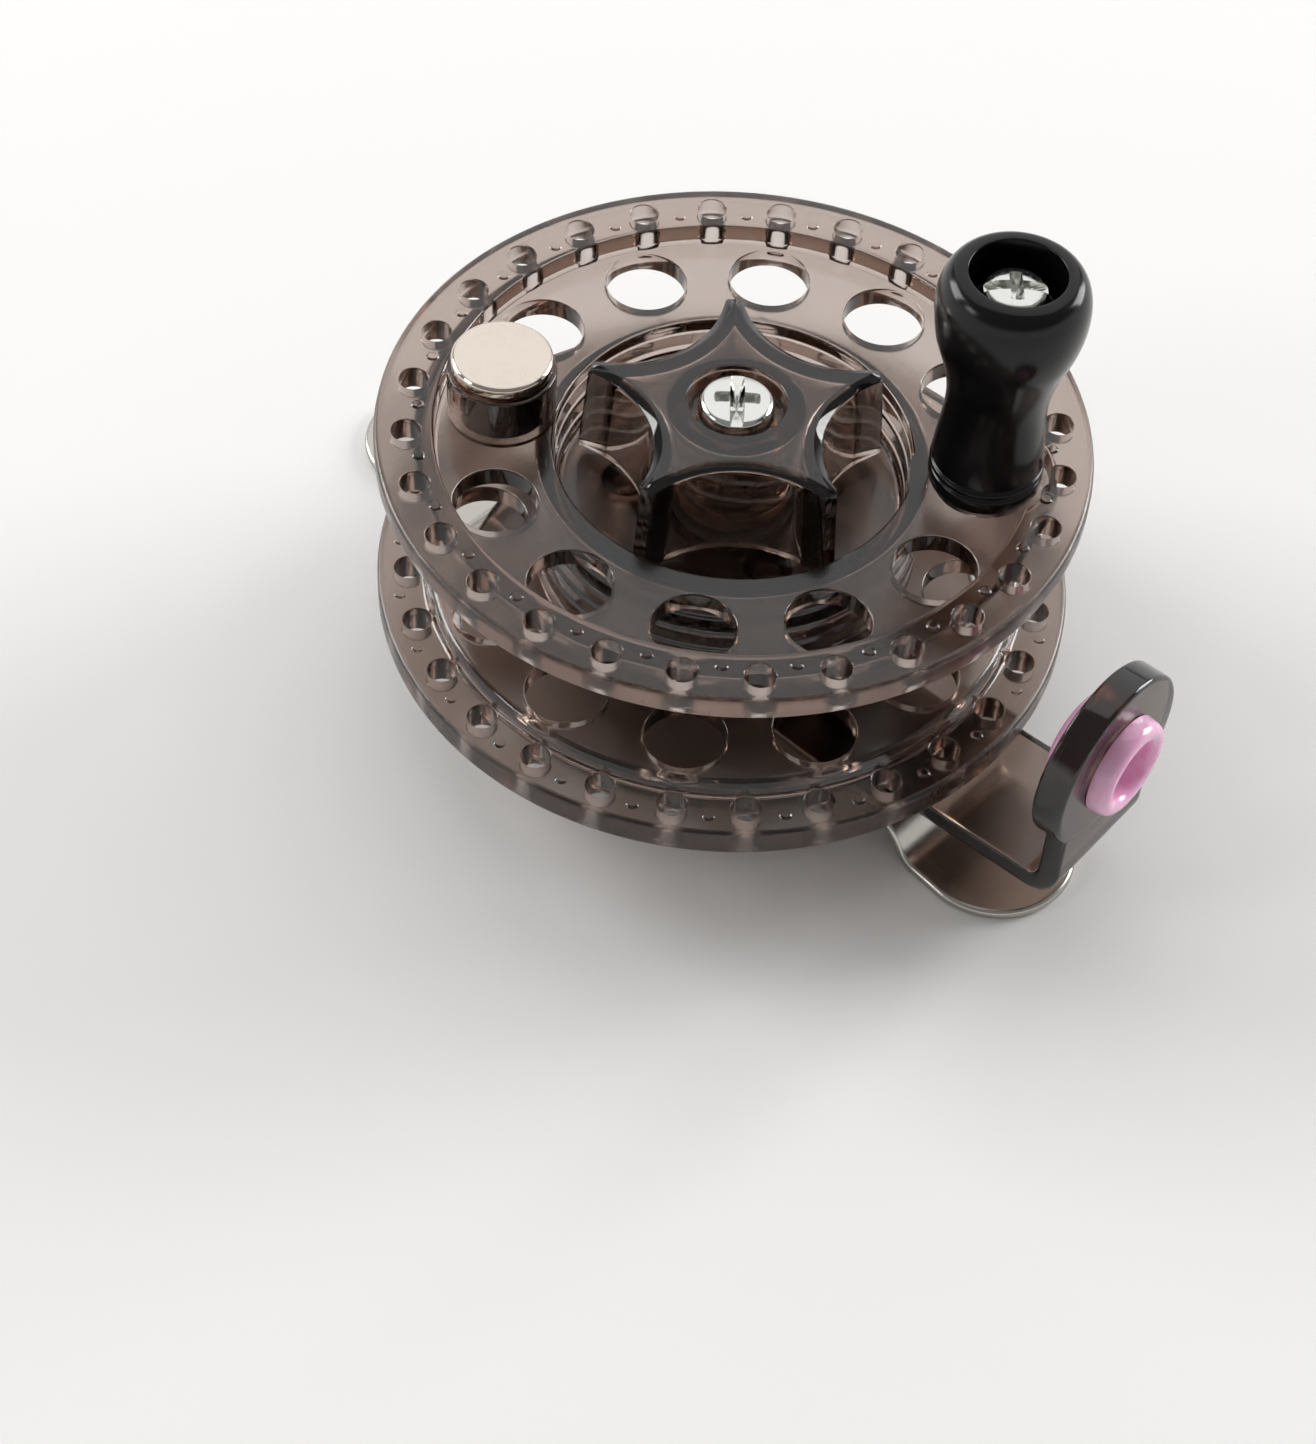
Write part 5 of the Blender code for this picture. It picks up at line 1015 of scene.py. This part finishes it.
# %% Spindle and nuts
def spindle():
    """Turn the spindle, with a blind hole for the centre screw and a thread at the lower end."""
    profile = [(0.0, 24.7, 0.0), (1.6, 24.7, 0.0), (1.6, 28.8, 0.1), (2.4, 28.8, 0.2),
               (2.4, 10.9, 0.05), (3.3, 10.9, 0.1), (3.3, 8.0, 0.1), (5.5, 8.0, 0.15),
               (5.5, 6.9, 0.1), (2.4, 6.9, 0.1), *thread(2.4, 6.6, 1.1, 0.6), (2.0, 0.6, 0.1),
               (0.0, 0.6, 0.0)]
    return turned("spindle_pin", profile, 64)


def nut(name, flats, low, high, hole, crown=0.93, cone=30.0):
    """Shape a hexagon nut whose corners a cone, in degrees, cuts back at both ends."""
    angles = around(144)
    side, flat = hexagon(angles, flats), flats / 2 * crown
    drop = (side - flat) * math.tan(math.radians(cone))
    rows = [(hole, high), (flat, high), (side, high - drop), (side, low + drop), (flat, low),
            (hole, low)]
    profile = np.array([np.stack([np.broadcast_to(value, angles.shape) for value in row], -1)
                        for row in rows])
    return solid(name, turn(profile, angles))


dress(spindle(), STAINLESS, "frame", "stainless_steel", "spindle")
dress(nut("spindle_hex_nut", 8.0, 0.9, 3.0, 2.7), ZINC, "frame", "zinc_plated_steel",
      "spindle_nut")
dress(nut("knob_brass_nut", 7.0, 25.7, 27.6, 2.7), BRASS, "drag", "brass", "knob_insert_nut")


# %% [markdown]
# ## Springs
# A spring is a round wire carried along a curve. The drag spring is a helix; the
# pawl's spring is a hairpin round its post. Each ring of the tube stands square to
# the curve, on two axes that are made from its tangent and the vertical.

# %% Springs
def wire(path, radius, sides=12):
    """Carry a circle along a path in space and close both ends."""
    ahead = np.gradient(path, axis=0)
    ahead /= np.linalg.norm(ahead, axis=1, keepdims=True)
    side = np.cross(ahead, (0.0, 0.0, 1.0))
    side /= np.linalg.norm(side, axis=1, keepdims=True)
    upward = np.cross(side, ahead)
    a = around(sides)[None, :, None]
    return capped(path[:, None] + radius * (np.cos(a) * side[:, None]
                                            + np.sin(a) * upward[:, None]))


def drag_spring(washer=22.6, nut_face=25.7, clear=0.3, thick=0.22, radius=3.6, turns=2.0):
    """Carry wire up in open turns, clear of the washer and of the nut."""
    t = np.linspace(0.0, turns, 120)
    low, high = washer + clear + thick, nut_face - clear - thick
    path = np.stack([radius * np.cos(math.tau * t), radius * np.sin(math.tau * t),
                     low + (high - low) * t / turns], -1)
    return solid("drag_coil", wire(path, thick))


def pawl_hairpin(half=1.1, end=20.7, start=18.9, height=8.9, thick=0.2):
    """Carry wire along two straight legs and a half circle between them."""
    a = np.linspace(0.0, math.pi, 24)
    bend = np.stack([half * np.cos(a), end + half * np.sin(a)], -1)
    flat = np.concatenate([[(half, start)], bend, [(-half, start)]])
    path = np.column_stack([flat, np.full(len(flat), height)])
    return solid("pawl_hairpin", wire(path, thick, 10))


dress(drag_spring(), STAINLESS, "frame", "stainless_steel", "drag_spring")
dress(pawl_hairpin(), STAINLESS, "click", "stainless_steel", "pawl_spring")

# %% [markdown]
# ## The pieces that stay as they are
# Bearings, sleeves, the gear and the click parts are hidden deep in the reel, and
# their CAD shapes are right. They only need their real finishes.

# %% Finishes for the CAD pieces
CARRIED = (
    (STAINLESS, ("bearing_inner_rear", "bearing_inner_front", "bearing_outer_rear",
                 "bearing_outer_front", "bearing_circlip", "handle_sleeve", "pressure_washer")),
    (BRASS, ("bearing_spacer",)), (FELT, ("drag_felt",)),
    (ACETAL, ("ratchet_gear", "click_slider", "click_pawl")),
)
for finish, names in CARRIED:
    for name in names:
        for material_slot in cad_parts[name].material_slots:
            material_slot.material = finish
    print(finish.name, "on", ", ".join(names))

# %% [markdown]
# ## View settings
# Standard keeps a colour as it is written.

# %% Finish
bpy.context.scene.view_settings.view_transform = 'Standard'
